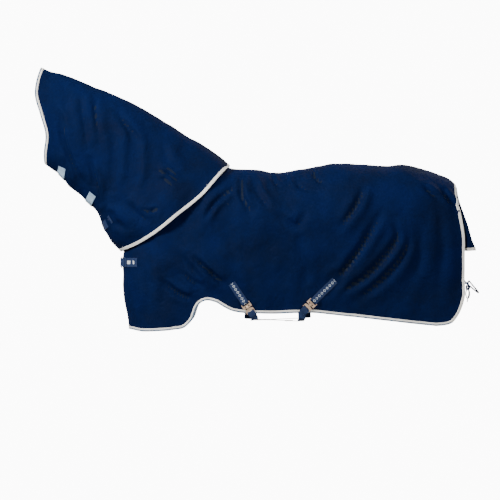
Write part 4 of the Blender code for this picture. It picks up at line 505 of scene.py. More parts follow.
def finishes():
    """Every finish of the rug."""
    # The slate is painted shade, laid on the corded fold of the piped tape.
    ivory, painted_piping_shade = "#f7f4ec", "#64758c"
    made = {}
    # Coated 1200 denier polyester, a matt plain weave: a deep even navy with almost no shine.
    # The real threads lie 0.6 mm apart; they are drawn at 2.6 mm so that the weave can be seen.
    made["shell"] = cloth_finish("plain_weave_polyester", "#00133f", "#000f31", 0.74, 0.0026, 0.80, 0.0)
    # Smooth nylon taffeta lining, a closer weave that catches a little more light.
    made["lining"] = cloth_finish("nylon_taffeta", "#0a1a33", "#081529", 0.55, 0.0020, 0.35, 0.04)
    # Ivory polyester grosgrain, crisp and pale, slightly soiled; its corded fold and a strip beside it are
    # slate, a painted shade standing for the shaded outer edge of a white piping.
    made["piped"] = tape_finish("piped_grosgrain", [(0.0, ivory), (0.31, painted_piping_shade), (0.86, ivory)], 0.0022)
    # The ivory and navy tapes are a shade darker from the middle of their corded fold round to their
    # underside: painted shade.
    made["ivory"] = tape_finish("ivory_grosgrain", [(0.0, ivory), (0.5, "#f0ece2")], 0.0022)
    made["navy_tape"] = tape_finish("navy_grosgrain", [(0.0, "#071c3a"), (0.5, "#061833")], 0.0022)
    # Polyester webbing in herringbone: denser and slightly bluer than the cloth.
    made["webbing"] = webbing_finish("herringbone_webbing", "#0b2a55", "#06193a")
    made["motif"] = webbing_finish("figured_webbing", "#0b2a55", "#06193a", "#c9d2da")
    made["pale_web"] = webbing_finish("pale_blue_webbing", "#b4cde2", "#86a9c8")
    # Hook and loop tape: a dense field of small hooks, pale blue.
    made["hook_tape"] = grained("hook_and_loop_tape", "#a8c6dd", "#7fa2c0", 0.85, 900.0, 0.0006, voronoi=True)
    # The lowest tab's tape is navy: the same hooks, dark and dull.
    made["navy_hook_tape"] = grained("navy_hook_tape", "#0b2447", "#061733", 0.90, 900.0, 0.0006,
                                     voronoi=True)
    # Glass bead tape: silver grey with a fine beaded glint.
    made["reflective"] = grained("glass_bead_tape", "#eef1f3", "#c3c9cf", 0.34, 1400.0, 0.0002, 0.15, True)
    # Cast zinc with a pale rose brass plating: satin and lightly handled. It is kept less than fully
    # metallic, because the dark room it would mirror makes a full metal look brown.
    made["brass"] = grained("rose_brass_plating", "#ecd0b6", "#cfa888", 0.34, 160.0, 0.00012, 0.55)
    # Polyester fleece: a deep off white pile.
    made["fleece"] = grained("polyester_fleece", "#dedad0", "#b7b1a4", 0.95, 260.0, 0.0022, voronoi=True)
    # Spun polyester sewing thread, waxed, ivory and navy.
    made["thread"] = grained("ivory_thread", "#f1ede2", "#cfc8b8", 0.55, 900.0, 0.0001)
    made["navy_thread"] = grained("navy_thread", "#16315c", "#0d2247", 0.50, 900.0, 0.0001)
    # Coated seam tape: a dark, slightly shiny film.
    made["seam_tape"] = grained("coated_seam_tape", "#2a3042", "#1d2231", 0.50, 420.0, 0.0002)
    # Braided polyester cord: a fine round braid in the navy of the webbing.
    made["cord"] = webbing_finish("braided_cord", "#0b2449", "#05142c")
    # Painted studio surround: a plain matt white with almost no grain.
    made["surround"] = grained("matt_studio_paint", "#f7f7f6", "#f2f2f1", 0.90, 2.0, 0.0001, specular=0.1)
    return made


def scaled(table):
    """Turn an outline of fractions into metres."""
    return np.array(table) * np.array([BODY_LENGTH, BODY_DEPTH])


def z_on(outline, x):
    """Height of an outline at one x."""
    return float(np.interp(x, outline[:, 0], outline[:, 1]))


def x_on(outline, z):
    """Position along the body of a falling outline at one height."""
    return float(np.interp(-z, -outline[:, 1], outline[:, 0]))


BACK = scaled(BACK_LINE)
REAR = scaled(REAR_EDGE)
BOTTOM = scaled(HEM)
CHEST = scaled(CHEST_LINE)
NECK_EDGE = scaled(NECKLINE)


def rounded(depth, radius):
    """Quarter round: 0 at the outline, 1 once the depth reaches the radius."""
    share = min(max(depth / radius, 0.0), 1.0)
    return math.sqrt(1.0 - (1.0 - share) ** 2)


def side_width(x, z):
    """Half width of the body before its edges are rounded."""
    fractions = np.array(WIDTHS)
    base = float(np.interp(x, fractions[:, 0] * BODY_LENGTH, fractions[:, 1])) * BARREL_WIDTH / 2
    hang = 1.0 - 0.07 * min(max((-0.50 * BODY_DEPTH - z) / (0.45 * BODY_DEPTH), 0.0), 1.0)
    front = float(np.interp(x / BODY_LENGTH, [-0.22, 0.05], [0.42, 0.0]))
    rise = min(max((z / BODY_DEPTH + 0.53) / 0.75, 0.0), 1.0)
    return base * hang * (1.0 - front * rise)


def body_width(x, z):
    """Half width of the rug over the horse at a point of the side view."""
    throat = scaled(THROAT)
    along = throat[5] - throat[0]
    across = np.array([-along[1], along[0]]) / np.linalg.norm(along)
    throat_depth = float(np.dot(across, np.array([x, z]) - throat[5])) - 0.03
    chest_depth = x - x_on(CHEST, z)
    front = rounded(max(throat_depth, chest_depth), CHEST_ROUNDING)
    return side_width(x, z) * front * rounded(z_on(BACK, x) - z, BACK_ROUNDING)


def chest_x(angle, z):
    """Position of a chest column at one height."""
    return x_on(CHEST, z) + CHEST_ROUNDING * (1.0 - math.cos(angle))


def column_x(column, z):
    """Position of a body grid column at one height."""
    chest = chest_angles()
    if column < len(chest):
        return chest_x(chest[column], z)
    column -= len(chest)
    if column < len(SIDE_COLUMNS):
        return SIDE_COLUMNS[column] * BODY_LENGTH
    inset = [0.045 * BODY_LENGTH, BINDING_WIDTH, 0.0][column - len(SIDE_COLUMNS)]
    return x_on(REAR, z) - inset


def chest_angles():
    """Angles of the chest columns; the first two are the front edge and its binding line."""
    half = 0.80 * BARREL_WIDTH / 2
    start = CHEST_EDGE_Y / half
    return [start, start + BINDING_WIDTH / half] + CHEST_ANGLES


def settle(column, outline, start):
    """Find where a column meets an outline."""
    z = start
    for _ in range(12):
        z = z_on(outline, column_x(column, z))
    return z


def body_grid():
    """Points of the near side of the body rug, columns from the chest to the tail."""
    count = len(chest_angles()) + len(SIDE_COLUMNS) + 3
    depth = 0.86 * BODY_DEPTH / 0.94
    back = [BACK_ROUNDING * (1.0 - math.cos(angle)) / depth for angle in BACK_ANGLES] + SIDE_ROWS
    even = [(k + 1.2) / (len(back) + 1.4) for k in range(len(back))]
    rows = len(back) + 4
    points = np.zeros((count, rows, 3))
    for column in range(count):
        over_back = column >= NECKLINE_END
        top = settle(column, BACK if over_back else NECK_EDGE, 0.0 if over_back else -0.2 * BODY_DEPTH)
        bottom = settle(column, BOTTOM, -0.9 * BODY_DEPTH)
        if column == count - 1:
            top = float(REAR[0, 1])
            bottom = float(REAR[-1, 1])
        share = min(max((column - NECKLINE_END + 4) / 4.0, 0.0), 1.0)
        heights = [top]
        if over_back:
            angle = BINDING_WIDTH / side_width(column_x(column, top), top)
            heights.append(top - BACK_ROUNDING * (1.0 - math.cos(angle)))
        else:
            heights.append(top - BINDING_WIDTH)
        for first, second in zip(back, even):
            heights.append(top + (bottom - top) * (share * first + (1.0 - share) * second))
        heights.append(bottom + BINDING_WIDTH)
        heights.append(bottom)
        for row, z in enumerate(heights):
            x = column_x(column, z)
            if column < len(chest_angles()):
                width = side_width(x, z) * math.sin(chest_angles()[column])
            else:
                width = body_width(x, z)
            points[column, row] = (x, -width, z)
        if over_back:
            points[column, 0, 1] = -SEAM_HALF_GAP
    points[NECKLINE_END:, 0, 1] = -SEAM_HALF_GAP
    return points


def neck_station(share):
    """Crest point, throat point and half width of the neck cover at one share of its length."""
    place = share * (len(CREST) - 1)
    knots = range(len(CREST))
    crest = scaled(CREST)
    throat = scaled(THROAT)
    top = np.array([np.interp(place, knots, crest[:, 0]), np.interp(place, knots, crest[:, 1])])
    low = np.array([np.interp(place, knots, throat[:, 0]), np.interp(place, knots, throat[:, 1])])
    return top, low, float(np.interp(place, knots, NECK_WIDTHS)) * BARREL_WIDTH / 2


def neck_side_point(share, drop):
    """Side view point of the neck cover; drop is 0 at the crest and 1 at the throat."""
    top, low, _ = neck_station(share)
    spot = top + (low - top) * drop
    poll = np.array(POLL_EDGE)
    apron = np.array(APRON_EDGE)
    spot[0] += float(np.interp(drop, poll[:, 0], poll[:, 1])) * (1.0 - share) ** 3
    line = (low - top) / np.linalg.norm(low - top)
    across = np.array([-line[1], line[0]])
    return spot + across * float(np.interp(drop, apron[:, 0], apron[:, 1])) * share ** 3


def neck_width(share, turn, spot):
    """Half width of the neck cover, kept clear of the body rug below it."""
    _, _, half = neck_station(share)
    shape = math.sin(math.pi * turn) ** 0.85
    clear = NECK_CLEARANCE * min(1.0, 4.0 * shape)
    covered = body_width(spot[0], spot[1] - NECK_CLEARANCE)
    return max(half * shape, covered + clear if covered > 0.0 else 0.0)


def neck_grid():
    """Points of the near side of the neck cover, columns from the poll to the withers."""
    inset = BINDING_WIDTH / (0.58 * BODY_LENGTH)
    inner = [k / 10.0 for k in range(1, 10)]
    shares = [0.0, inset] + inner + [0.96, 1.0 - 0.6 * inset, 1.0]
    points = np.zeros((len(shares), len(NECK_ROWS) + 4, 3))
    for column, share in enumerate(shares):
        top, low, half = neck_station(share)
        edge = math.asin((BINDING_WIDTH / half) ** (1 / 0.85)) / math.pi
        turns = [0.0, edge] + NECK_ROWS + [1.0 - edge, 1.0]
        for row, turn in enumerate(turns):
            spot = neck_side_point(share, (1.0 - math.cos(math.pi * turn)) / 2)
            points[column, row] = (spot[0], -neck_width(share, turn, spot), spot[1])
        points[column, 0, 1] = -SEAM_HALF_GAP
        points[column, -1, 1] = -CHEST_EDGE_Y
    return points


def flap_grid():
    """Points of the tail flap from its near side edge round the tail to its off side edge."""
    middle = scaled([(0.6240, -0.0775), (0.6293, -0.1481), (0.6404, -0.2221), (0.6573, -0.3122),
                     (0.6705, -0.4035), (0.6808, -0.4600), (0.6818, -0.4700)])
    sides = scaled([(0.6225, -0.0800), (0.6245, -0.1481), (0.6335, -0.2221), (0.6410, -0.3122),
                    (0.6475, -0.4035), (0.6475, -0.4650), (0.6475, -0.4750)])
    halves = [0.055, 0.085, 0.115, 0.140, 0.155, 0.160, 0.160]
    angles = [-90, -60, -30, 0, 30, 60, 90]
    points = np.zeros((len(angles), len(middle), 3))
    for column, degrees in enumerate(angles):
        turn = math.radians(degrees)
        for row in range(len(middle)):
            side = sides[row] + (middle[row] - sides[row]) * math.cos(turn)
            points[column, row] = (side[0], halves[row] * math.sin(turn), side[1])
    return points


def smooth_along(values, knots, places):
    """Smooth curve through values at knots, read at places; works on the first axis of an array."""
    values, knots, places = np.asarray(values, float), np.asarray(knots, float), np.asarray(places, float)
    steps = np.diff(knots)
    wide = (slice(None),) + (None,) * (values.ndim - 1)
    slopes = np.diff(values, axis=0) / steps[wide]
    tangents = np.empty_like(values)
    tangents[0], tangents[-1] = slopes[0], slopes[-1]
    before, after = steps[:-1][wide], steps[1:][wide]
    tangents[1:-1] = (slopes[:-1] * after + slopes[1:] * before) / (before + after)
    at = np.clip(np.searchsorted(knots, places, side="right") - 1, 0, len(steps) - 1)
    part = ((places - knots[at]) / steps[at])[wide]
    span = steps[at][wide]
    a, b, c, d = values[at], values[at + 1], tangents[at] * span, tangents[at + 1] * span
    square, cube = part ** 2, part ** 3
    return (a * (2 * cube - 3 * square + 1) + c * (cube - 2 * square + part)
            + b * (3 * square - 2 * cube) + d * (cube - square))


def fine_places(knots, step):
    """Places at about a step apart that keep every knot, and where each knot went."""
    places, kept = [], []
    for low, high in zip(knots[:-1], knots[1:]):
        count = max(1, int(round((high - low) / step)))
        kept.append(len(places))
        places += [low + (high - low) * k / count for k in range(count)]
    kept.append(len(places))
    return np.array(places + [knots[-1]]), kept


def fine_grid(coarse, step, ridge_from=None):
    """Fine grid of a panel with its normals, its own cloth coordinates and where its coarse lines lie."""
    wide = np.r_[0, np.cumsum(np.linalg.norm(np.diff(coarse, axis=0), axis=2).mean(axis=1))]
    tall = np.r_[0, np.cumsum(np.linalg.norm(np.diff(coarse, axis=1), axis=2).mean(axis=0))]
    across, columns = fine_places(wide, step)
    down, rows = fine_places(tall, step)
    points = smooth_along(coarse, wide, across)
    points = smooth_along(points.transpose(1, 0, 2), tall, down).transpose(1, 0, 2)
    if ridge_from is not None:
        points[columns[ridge_from]:, 0, 1] = -SEAM_HALF_GAP
        points[..., 1] = np.minimum(points[..., 1], -SEAM_HALF_GAP)
    normals = np.cross(np.gradient(points, axis=1), np.gradient(points, axis=0))
    if ridge_from is not None:
        normals[columns[ridge_from]:, 0, 1] = 0.0
    normals /= np.linalg.norm(normals, axis=2, keepdims=True)
    cloth = np.stack(np.meshgrid(across, down, indexing="ij"), axis=2)
    return {"points": points, "normals": normals, "cloth": cloth, "columns": columns, "rows": rows}


def fold_height(spots, route, depth, half):
    """Height of one soft fold at side view spots: a hollow with a rounded lip beside it."""
    line = smooth_along(route, range(len(route)), np.linspace(0, len(route) - 1, 14))
    best = np.full(len(spots), 9.0)
    along = np.zeros(len(spots))
    side = np.zeros(len(spots))
    for k in range(len(line) - 1):
        run = line[k + 1] - line[k]
        part = np.clip(((spots - line[k]) @ run) / (run @ run), 0, 1)
        gap = spots - line[k] - part[:, None] * run
        far = np.linalg.norm(gap, axis=1)
        nearer = far < best
        best = np.where(nearer, far, best)
        along = np.where(nearer, (k + part) / (len(line) - 1), along)
        side = np.where(nearer, np.sign(run[0] * gap[:, 1] - run[1] * gap[:, 0]), side)
    taper = np.clip(np.sin(math.pi * np.clip(along, 0.02, 0.98)), 0, 1) ** 0.7
    hollow = -np.exp(-(best / half) ** 2)
    lean = 1 + 0.5 * side * (1 + hollow)
    lip = 0.62 * np.exp(-((best - 1.9 * half) / (1.25 * half)) ** 2) * lean
    return (hollow + lip) * depth * taper


def slack(spots, seed, size):
    """Gentle unevenness of hanging cloth from a few long waves."""
    chance = np.random.default_rng(seed)
    height = np.zeros(len(spots))
    for length in (0.62, 0.45, 0.33, 0.24, 0.17, 0.12, 0.09):
        for _ in range(2):
            turn = chance.uniform(0, math.pi)
            way = np.array([math.cos(turn) * 1.2, math.sin(turn) * 0.7]) * 2 * math.pi / length
            height += np.sin(spots @ way + chance.uniform(0, 6.28)) * size * length
    return height


def strap_calm(points, lift=0.022):
    """0 on a strap, 1 well away from it, so that cloth lies flat where a strap or tab crosses it."""
    flat = points.reshape(-1, 3)
    calm = np.ones(len(flat))
    for route in ROUTES.values():
        spots = np.array([r[:3] for r in route]) / 1000
        spots = smooth_along(spots, range(len(spots)), np.linspace(0, len(spots) - 1, 3 * len(spots)))
        for begin in range(0, len(flat), 4000):
            part = flat[begin:begin + 4000]
            far = np.linalg.norm(part[:, None] - spots[None], axis=2).min(axis=1)
            share = np.clip((far - lift) / 0.055, 0, 1)
            calm[begin:begin + 4000] = np.minimum(calm[begin:begin + 4000], share * share * (3 - 2 * share))
    return calm.reshape(points.shape[:2])


def drape(grid, folds, seed, rise, sink, mirror):
    """Give a fine grid its folds and slack; the off side hangs a little differently."""
    points, normals = grid["points"], grid["normals"]
    spots = points[..., [0, 2]].reshape(-1, 2)
    height = slack(spots, seed[0], SLACK)
    own = np.clip((np.abs(points[..., 1]).ravel() - 0.02) / 0.12, 0, 1) * mirror
    height += (slack(spots, seed[1], SLACK) - height) * own
    for k, (route, depth, half) in enumerate(folds):
        share = 1.0 - own * 0.35 * (1 - math.cos(2.4 * k))
        height += fold_height(spots, np.array(route), FOLD_GAIN * depth, half / 1000) * share
    over_pad = np.exp(-(((spots - PAD_CENTRE) / PAD_REACH) ** 2).sum(axis=1))
    height = np.where(height < 0, height * (1 - 0.85 * over_pad), height)
    height = height.reshape(points.shape[:2]) / 1000
    height = np.where(height > 0, rise * np.tanh(height / rise), sink * np.tanh(height / sink))
    height *= strap_calm(points * MIRROR if mirror else points)
    grid["points"] = points + normals * height[..., None]
    bent = np.cross(np.gradient(grid["points"], axis=1), np.gradient(grid["points"], axis=0))
    bent /= np.linalg.norm(bent, axis=2, keepdims=True)
    flat_edges = np.abs(points[..., 1]) < 0.001
    bent[flat_edges] = normals[flat_edges]
    grid["normals"] = bent
    return grid


def placed(name, data):
    """A new object in the scene for a mesh, lamp or camera."""
    made = bpy.data.objects.new(name, data)
    bpy.context.scene.collection.objects.link(made)
    return made


def finished(name, points, faces, uvs, material, sharp=45):
    """One smooth closed mesh object, facing out, with its cloth coordinates."""
    mesh = bpy.data.meshes.new(name)
    mesh.from_pydata([tuple(p) for p in points], [], faces)
    layer = mesh.uv_layers.new(name="cloth")
    corners = np.empty(len(mesh.loops), np.int32)
    mesh.loops.foreach_get("vertex_index", corners)
    layer.data.foreach_set("uv", np.asarray(uvs, np.float32)[corners].ravel())
    work = bmesh.new()
    work.from_mesh(mesh)
    bmesh.ops.recalc_face_normals(work, faces=work.faces)
    work.to_mesh(mesh)
    work.free()
    mesh.shade_smooth()
    mesh.set_sharp_from_angle(angle=math.radians(sharp))
    mesh.materials.append(material)
    return placed(name, mesh)


def cloth_layer(name, grid, high, thick, material, mirror=False):
    """Closed sheet of cloth of one thickness, laid at a height over a grid."""
    points, normals, cloth = grid["points"], grid["normals"], grid["cloth"]
    wide, tall = points.shape[:2]
    size = wide * tall
    verts = np.concatenate([(points + normals * level).reshape(-1, 3) for level in (high, high - thick)])
    if mirror:
        verts = verts * MIRROR
    index = np.arange(size).reshape(wide, tall)
    quads = np.stack([index[:-1, :-1], index[:-1, 1:], index[1:, 1:], index[1:, :-1]], axis=2).reshape(-1, 4)
    rim = np.concatenate([index[:, 0], index[-1, 1:], index[-2::-1, -1], index[0, -2:0:-1]])
    after = np.roll(rim, -1)
    walls = np.stack([rim, after, after + size, rim + size], axis=1)
    faces = np.concatenate([quads, quads[:, ::-1] + size, walls]).tolist()
    flat = cloth.reshape(-1, 2)
    return finished(name, verts, faces, np.concatenate([flat, flat]), material)


def rings_mesh(name, rings, uvs, material, closed=False, sharp=45):
    """Closed tube through rings of points."""
    count, around = rings.shape[:2]
    index = np.arange(count * around).reshape(count, around)
    if closed:
        index = np.vstack([index, index[:1]])
    follow = np.roll(index, -1, axis=1)
    faces = np.stack([index[:-1], follow[:-1], follow[1:], index[1:]], axis=2).reshape(-1, 4).tolist()
    if not closed:
        faces += [index[0].tolist(), index[-1, ::-1].tolist()]
    return finished(name, rings.reshape(-1, 3), faces, uvs.reshape(-1, 2), material, sharp)


def tape_section():
    """Section of an edge tape with a corded fold: distance past its inner edge, and height."""
    width, thick = BINDING_WIDTH, CLOTH_THICKNESS - LINING_TOP + 0.0003
    middle = -thick / 2
    top = [(0.0, -0.0002), (0.0004, BINDING_FACE * 0.8), (0.0014, BINDING_FACE), (0.006, BINDING_FACE * 1.15),
           (width - 0.0070, BINDING_FACE), (width - 0.0052, BINDING_FACE * 0.45)]
    bead = []
    for degrees in range(125, -126, -25):
        turn = math.radians(degrees)
        bead.append((width - 0.0014 + PIPING_RADIUS * math.cos(turn),
                     middle + (PIPING_RADIUS + 0.0006) * math.sin(turn)))
    low = [(a, -thick - h) for a, h in reversed(top[1:])]
    return np.array(top + bead + low + [(0.0, -thick + 0.0002)])


def edge_tape(name, edge, inner, edge_out, inner_out, material, mirror=False):
    """Tape over an edge of the cloth, and the line its stitches follow."""
    run = np.gradient(edge, axis=0)
    run /= np.linalg.norm(run, axis=1, keepdims=True)
    away = edge - inner
    away -= run * (away * run).sum(axis=1, keepdims=True)
    on_ridge = np.abs(edge[:, 1]) < 0.0004
    away[on_ridge, 1] = 0.0
    away /= np.linalg.norm(away, axis=1, keepdims=True)
    out = edge_out + inner_out
    out[on_ridge, 1] = 0.0
    out -= away * (out * away).sum(axis=1, keepdims=True)
    out /= np.linalg.norm(out, axis=1, keepdims=True)
    section = tape_section()
    start = edge - away * BINDING_WIDTH
    rings = start[:, None] + away[:, None] * section[None, :, :1] + out[:, None] * section[None, :, 1:]
    if not (edge[:, 1] > 0.0).any():
        rings[..., 1] = np.minimum(rings[..., 1], -0.0001)
    along = np.r_[0, np.cumsum(np.linalg.norm(np.diff(edge, axis=0), axis=1))]
    across = np.r_[0, np.cumsum(np.linalg.norm(np.diff(section, axis=0), axis=1))]
    uvs = np.stack(np.meshgrid(along, across, indexing="ij"), axis=2)
    line = start + away * 0.0026 + out * (BINDING_FACE + 0.0002)
    if mirror:
        rings, line = rings * MIRROR, line * MIRROR
    return rings_mesh(name, rings, uvs, material, sharp=60), line


def web_frames(route, step, straight=False):
    """Route, side and face directions of a strap at an even fine step."""
    table = np.array(route, float)
    spots, sides = table[:, :3] / 1000, table[:, 3:6]
    knots = np.r_[0, np.cumsum(np.linalg.norm(np.diff(spots, axis=0), axis=1))]
    places, _ = fine_places(knots, step)
    if straight:
        spots, sides = (np.stack([np.interp(places, knots, t) for t in a.T], 1) for a in (spots, sides))
    else:
        spots, sides = smooth_along(spots, knots, places), smooth_along(sides, knots, places)
    run = np.gradient(spots, axis=0)
    run /= np.linalg.norm(run, axis=1, keepdims=True)
    sides -= run * (sides * run).sum(axis=1, keepdims=True)
    sides /= np.linalg.norm(sides, axis=1, keepdims=True)
    return spots, sides, np.cross(run, sides), places


def web(name, route, width, thick, material, step=0.004, straight=False, lift=0.0):
    """Strap of webbing with rounded, slightly thicker selvedges."""
    spots, sides, outs, along = web_frames(route, step, straight)
    spots = spots + outs * lift
    half = width / 2
    across = [-half, -half * 0.965, -half * 0.90, -half * 0.82, -half * 0.4, 0.0]
    across += [-a for a in across[-2::-1]]
    rise = [0.35, 0.95, 1.05, 0.82, 0.86, 0.88, 0.86, 0.82, 1.05, 0.95, 0.35]
    section = [(a, r * thick / 2) for a, r in zip(across, rise)]
    section += [(a, -h) for a, h in reversed(section)]
    section = np.array(section)
    rings = spots[:, None] + sides[:, None] * section[None, :, :1] + outs[:, None] * section[None, :, 1:]
    uvs = np.empty(rings.shape[:2] + (2,))
    uvs[..., 0] = along[:, None]
    uvs[..., 1] = section[None, :, 0]
    return rings_mesh(name, rings, uvs, material, sharp=50)


def web_box(route, width, first, last, lift, inset=0.004):
    """Lines of a sewn box with its cross on a strap between two distances along it."""
    spots, sides, outs, along = web_frames(route, 0.004)

    def place(distance, share):
        spot = np.array([np.interp(distance, along, spots[:, k]) for k in range(3)])
        side = np.array([np.interp(distance, along, sides[:, k]) for k in range(3)])
        out = np.array([np.interp(distance, along, outs[:, k]) for k in range(3)])
        return spot + side * share * (width / 2 - inset) + out * lift

    corners = [(first, -1), (last, -1), (last, 1), (first, 1), (first, -1)]
    lines = []
    for (a, b), (c, d) in list(zip(corners[:-1], corners[1:])) + [((first, -1), (last, 1)),
                                                                ((last, -1), (first, 1))]:
        lines.append(np.array([place(a + (c - a) * t, b + (d - b) * t) for t in np.linspace(0, 1, 7)]))
    return lines


def band(name, centre, across, out, along, half_wide, half_high, thick, length, material):
    """Loop of tape round a strap, with rounded corners."""
    centre, across, out, along = (np.array(v, float) for v in (centre, across, out, along))
    corner = min(0.0018, half_high * 0.8)
    ring = []
    for quarter, (a, b) in enumerate(((1, 1), (-1, 1), (-1, -1), (1, -1))):
        for k in range(6):
            turn = math.pi / 2 * (quarter + k / 5)
            ring.append((a * (half_wide - corner) + corner * math.cos(turn),
                         b * (half_high - corner) + corner * math.sin(turn), math.cos(turn), math.sin(turn)))
    section = [(-0.5, 0.25), (-0.46, 0.0), (0.46, 0.0), (0.5, 0.25), (0.5, 0.75), (0.46, 1.0), (0.0, 1.05),
               (-0.46, 1.0), (-0.5, 0.75)]
    rings, uvs, far = [], [], 0.0
    for k, (a, b, c, d) in enumerate(ring):
        base = centre + across * a + out * b
        push = across * c + out * d
        rings.append([base + along * s * length + push * h * thick for s, h in section])
        far += 0.0 if k == 0 else math.dist(ring[k][:2], ring[k - 1][:2])
        uvs.append([(far, s * length) for s, _ in section])
    return rings_mesh(name, np.array(rings), np.array(uvs), material, closed=True)


def rope(name, route, radius, material, closed=False, step=0.0022):
    """Braided cord along a route; its braid is a fine rise and fall round it."""
    spots = np.array(route, float)
    if closed:
        spots = np.vstack([spots[-2:], spots, spots[:3]])
    knots = np.r_[0, np.cumsum(np.linalg.norm(np.diff(spots, axis=0), axis=1))]
    first, last = (knots[2], knots[-3]) if closed else (knots[0], knots[-1])
    count = max(8, int((last - first) / step))
    places = np.linspace(first, last, count, endpoint=not closed)
    spots = smooth_along(spots, knots, places)
    run = np.roll(spots, -1, axis=0) - np.roll(spots, 1, axis=0) if closed else np.gradient(spots, axis=0)
    run /= np.linalg.norm(run, axis=1, keepdims=True)
    side = [Vector(run[0]).orthogonal().normalized()]
    for k in range(1, len(run)):
        turned = Vector(run[k - 1]).rotation_difference(Vector(run[k])) @ side[-1]
        side.append((turned - Vector(run[k]) * turned.dot(Vector(run[k]))).normalized())
    side = np.array([tuple(s) for s in side])
    if closed:
        back = side[-1] - run[0] * (side[-1] @ run[0])
        twist = math.atan2(np.cross(back, side[0]) @ run[0], back @ side[0])
    else:
        twist = 0.0
    other = np.cross(run, side)
    around = 14
    rings, uvs = [], []
    for k in range(len(spots)):
        turns = np.linspace(0, 2 * math.pi, around, endpoint=False) + twist * k / len(spots)
        far = places[k] - first
        braid = 1 + 0.07 * np.sin(4 * turns + far * 900) * np.sin(4 * turns - far * 900)
        rings.append(spots[k] + (side[k] * np.cos(turns)[:, None] + other[k] * np.sin(turns)[:, None])
                     * radius * braid[:, None])
        uvs.append(np.stack([np.full(around, far), turns * radius], axis=1))
    return rings_mesh(name, np.array(rings), np.array(uvs), material, closed, 80)


def stitch_tree():
    """Node group that sews short threads along curves at an even pitch."""
    tree = bpy.data.node_groups.new("stitch_row", "GeometryNodeTree")
    face = tree.interface
    face.new_socket("Geometry", in_out="INPUT", socket_type="NodeSocketGeometry")
    for label in ("Pitch", "Stitch Length", "Thread Radius"):
        face.new_socket(label, in_out="INPUT", socket_type="NodeSocketFloat")
    face.new_socket("Thread", in_out="INPUT", socket_type="NodeSocketMaterial")
    face.new_socket("Geometry", in_out="OUTPUT", socket_type="NodeSocketGeometry")
    given = node(tree, "NodeGroupInput").outputs
    curve = node(tree, "GeometryNodeMeshToCurve", None, {"Mesh": given["Geometry"]})
    even = node(tree, "GeometryNodeResampleCurve", {"mode": "LENGTH"},
                {"Curve": curve.outputs[0], "Length": given["Pitch"]})
    spots = node(tree, "GeometryNodeCurveToPoints", {"mode": "EVALUATED"}, {"Curve": even.outputs[0]})
    turn = node(tree, "FunctionNodeAlignRotationToVector", {"axis": "Z"},
                {"Vector": spots.outputs["Tangent"]})
    thread = node(tree, "GeometryNodeMeshCylinder", {"Vertices": 6, "Side Segments": 3},
                  {"Radius": given["Thread Radius"], "Depth": given["Stitch Length"]})
    place = node(tree, "GeometryNodeInputPosition")
    parts = node(tree, "ShaderNodeSeparateXYZ", None, {0: place.outputs[0]})
    away = node(tree, "ShaderNodeMath", {"operation": "DIVIDE"},
                {0: parts.outputs["Z"], 1: given["Stitch Length"]})
    size = node(tree, "ShaderNodeMath", {"operation": "ABSOLUTE"}, {0: away.outputs[0]})
    square = node(tree, "ShaderNodeMath", {"operation": "POWER", 1: 2.0}, {0: size.outputs[0]})
    keep = node(tree, "ShaderNodeMath", {"operation": "MULTIPLY_ADD", 1: -2.2, 2: 1.0},
                {0: square.outputs[0]})
    slim_x, slim_y = (node(tree, "ShaderNodeMath", {"operation": "MULTIPLY"},
                           {0: parts.outputs[axis], 1: keep.outputs[0]}) for axis in ("X", "Y"))
    slim = node(tree, "ShaderNodeCombineXYZ", None, {0: slim_x.outputs[0], 1: slim_y.outputs[0],
                                                     2: parts.outputs["Z"]})
    tapered = node(tree, "GeometryNodeSetPosition", None, {"Geometry": thread.outputs["Mesh"],
                                                           "Position": slim.outputs[0]})
    sewn = node(tree, "GeometryNodeInstanceOnPoints", None,
                {"Points": spots.outputs["Points"], "Instance": tapered.outputs[0],
                 "Rotation": turn.outputs[0]})
    real = node(tree, "GeometryNodeRealizeInstances", None, {"Geometry": sewn.outputs[0]})
    done = node(tree, "GeometryNodeSetMaterial", None, {"Geometry": real.outputs[0],
                                                        "Material": given["Thread"]})
    node(tree, "NodeGroupOutput", None, {"Geometry": done.outputs[0]})
    return tree


def stitches(name, tree, lines, thread, pitch=STITCH_PITCH, length=STITCH_LENGTH, radius=THREAD_RADIUS):
    """Rows of stitches along lines, made one plain mesh."""
    verts, edges = [], []
    for line in lines:
        first = len(verts)
        verts += [tuple(p) for p in line]
        edges += [(first + k, first + k + 1) for k in range(len(line) - 1)]
    mesh = bpy.data.meshes.new(name + "_lines")
    mesh.from_pydata(verts, edges, [])
    rows = placed(name + "_lines", mesh)
    sew = rows.modifiers.new("stitch_row", "NODES")
    sew.node_group = tree
    values = {"Pitch": pitch, "Stitch Length": length, "Thread Radius": radius, "Thread": thread}
    for item in tree.interface.items_tree:
        if item.in_out == "INPUT" and item.name in values:
            sew[item.identifier] = values[item.name]
    bpy.context.view_layer.update()
    graph = bpy.context.evaluated_depsgraph_get()
    plain = bpy.data.meshes.new_from_object(rows.evaluated_get(graph))
    plain.name = name
    plain.shade_smooth()
    bpy.data.objects.remove(rows)
    return placed(name, plain)


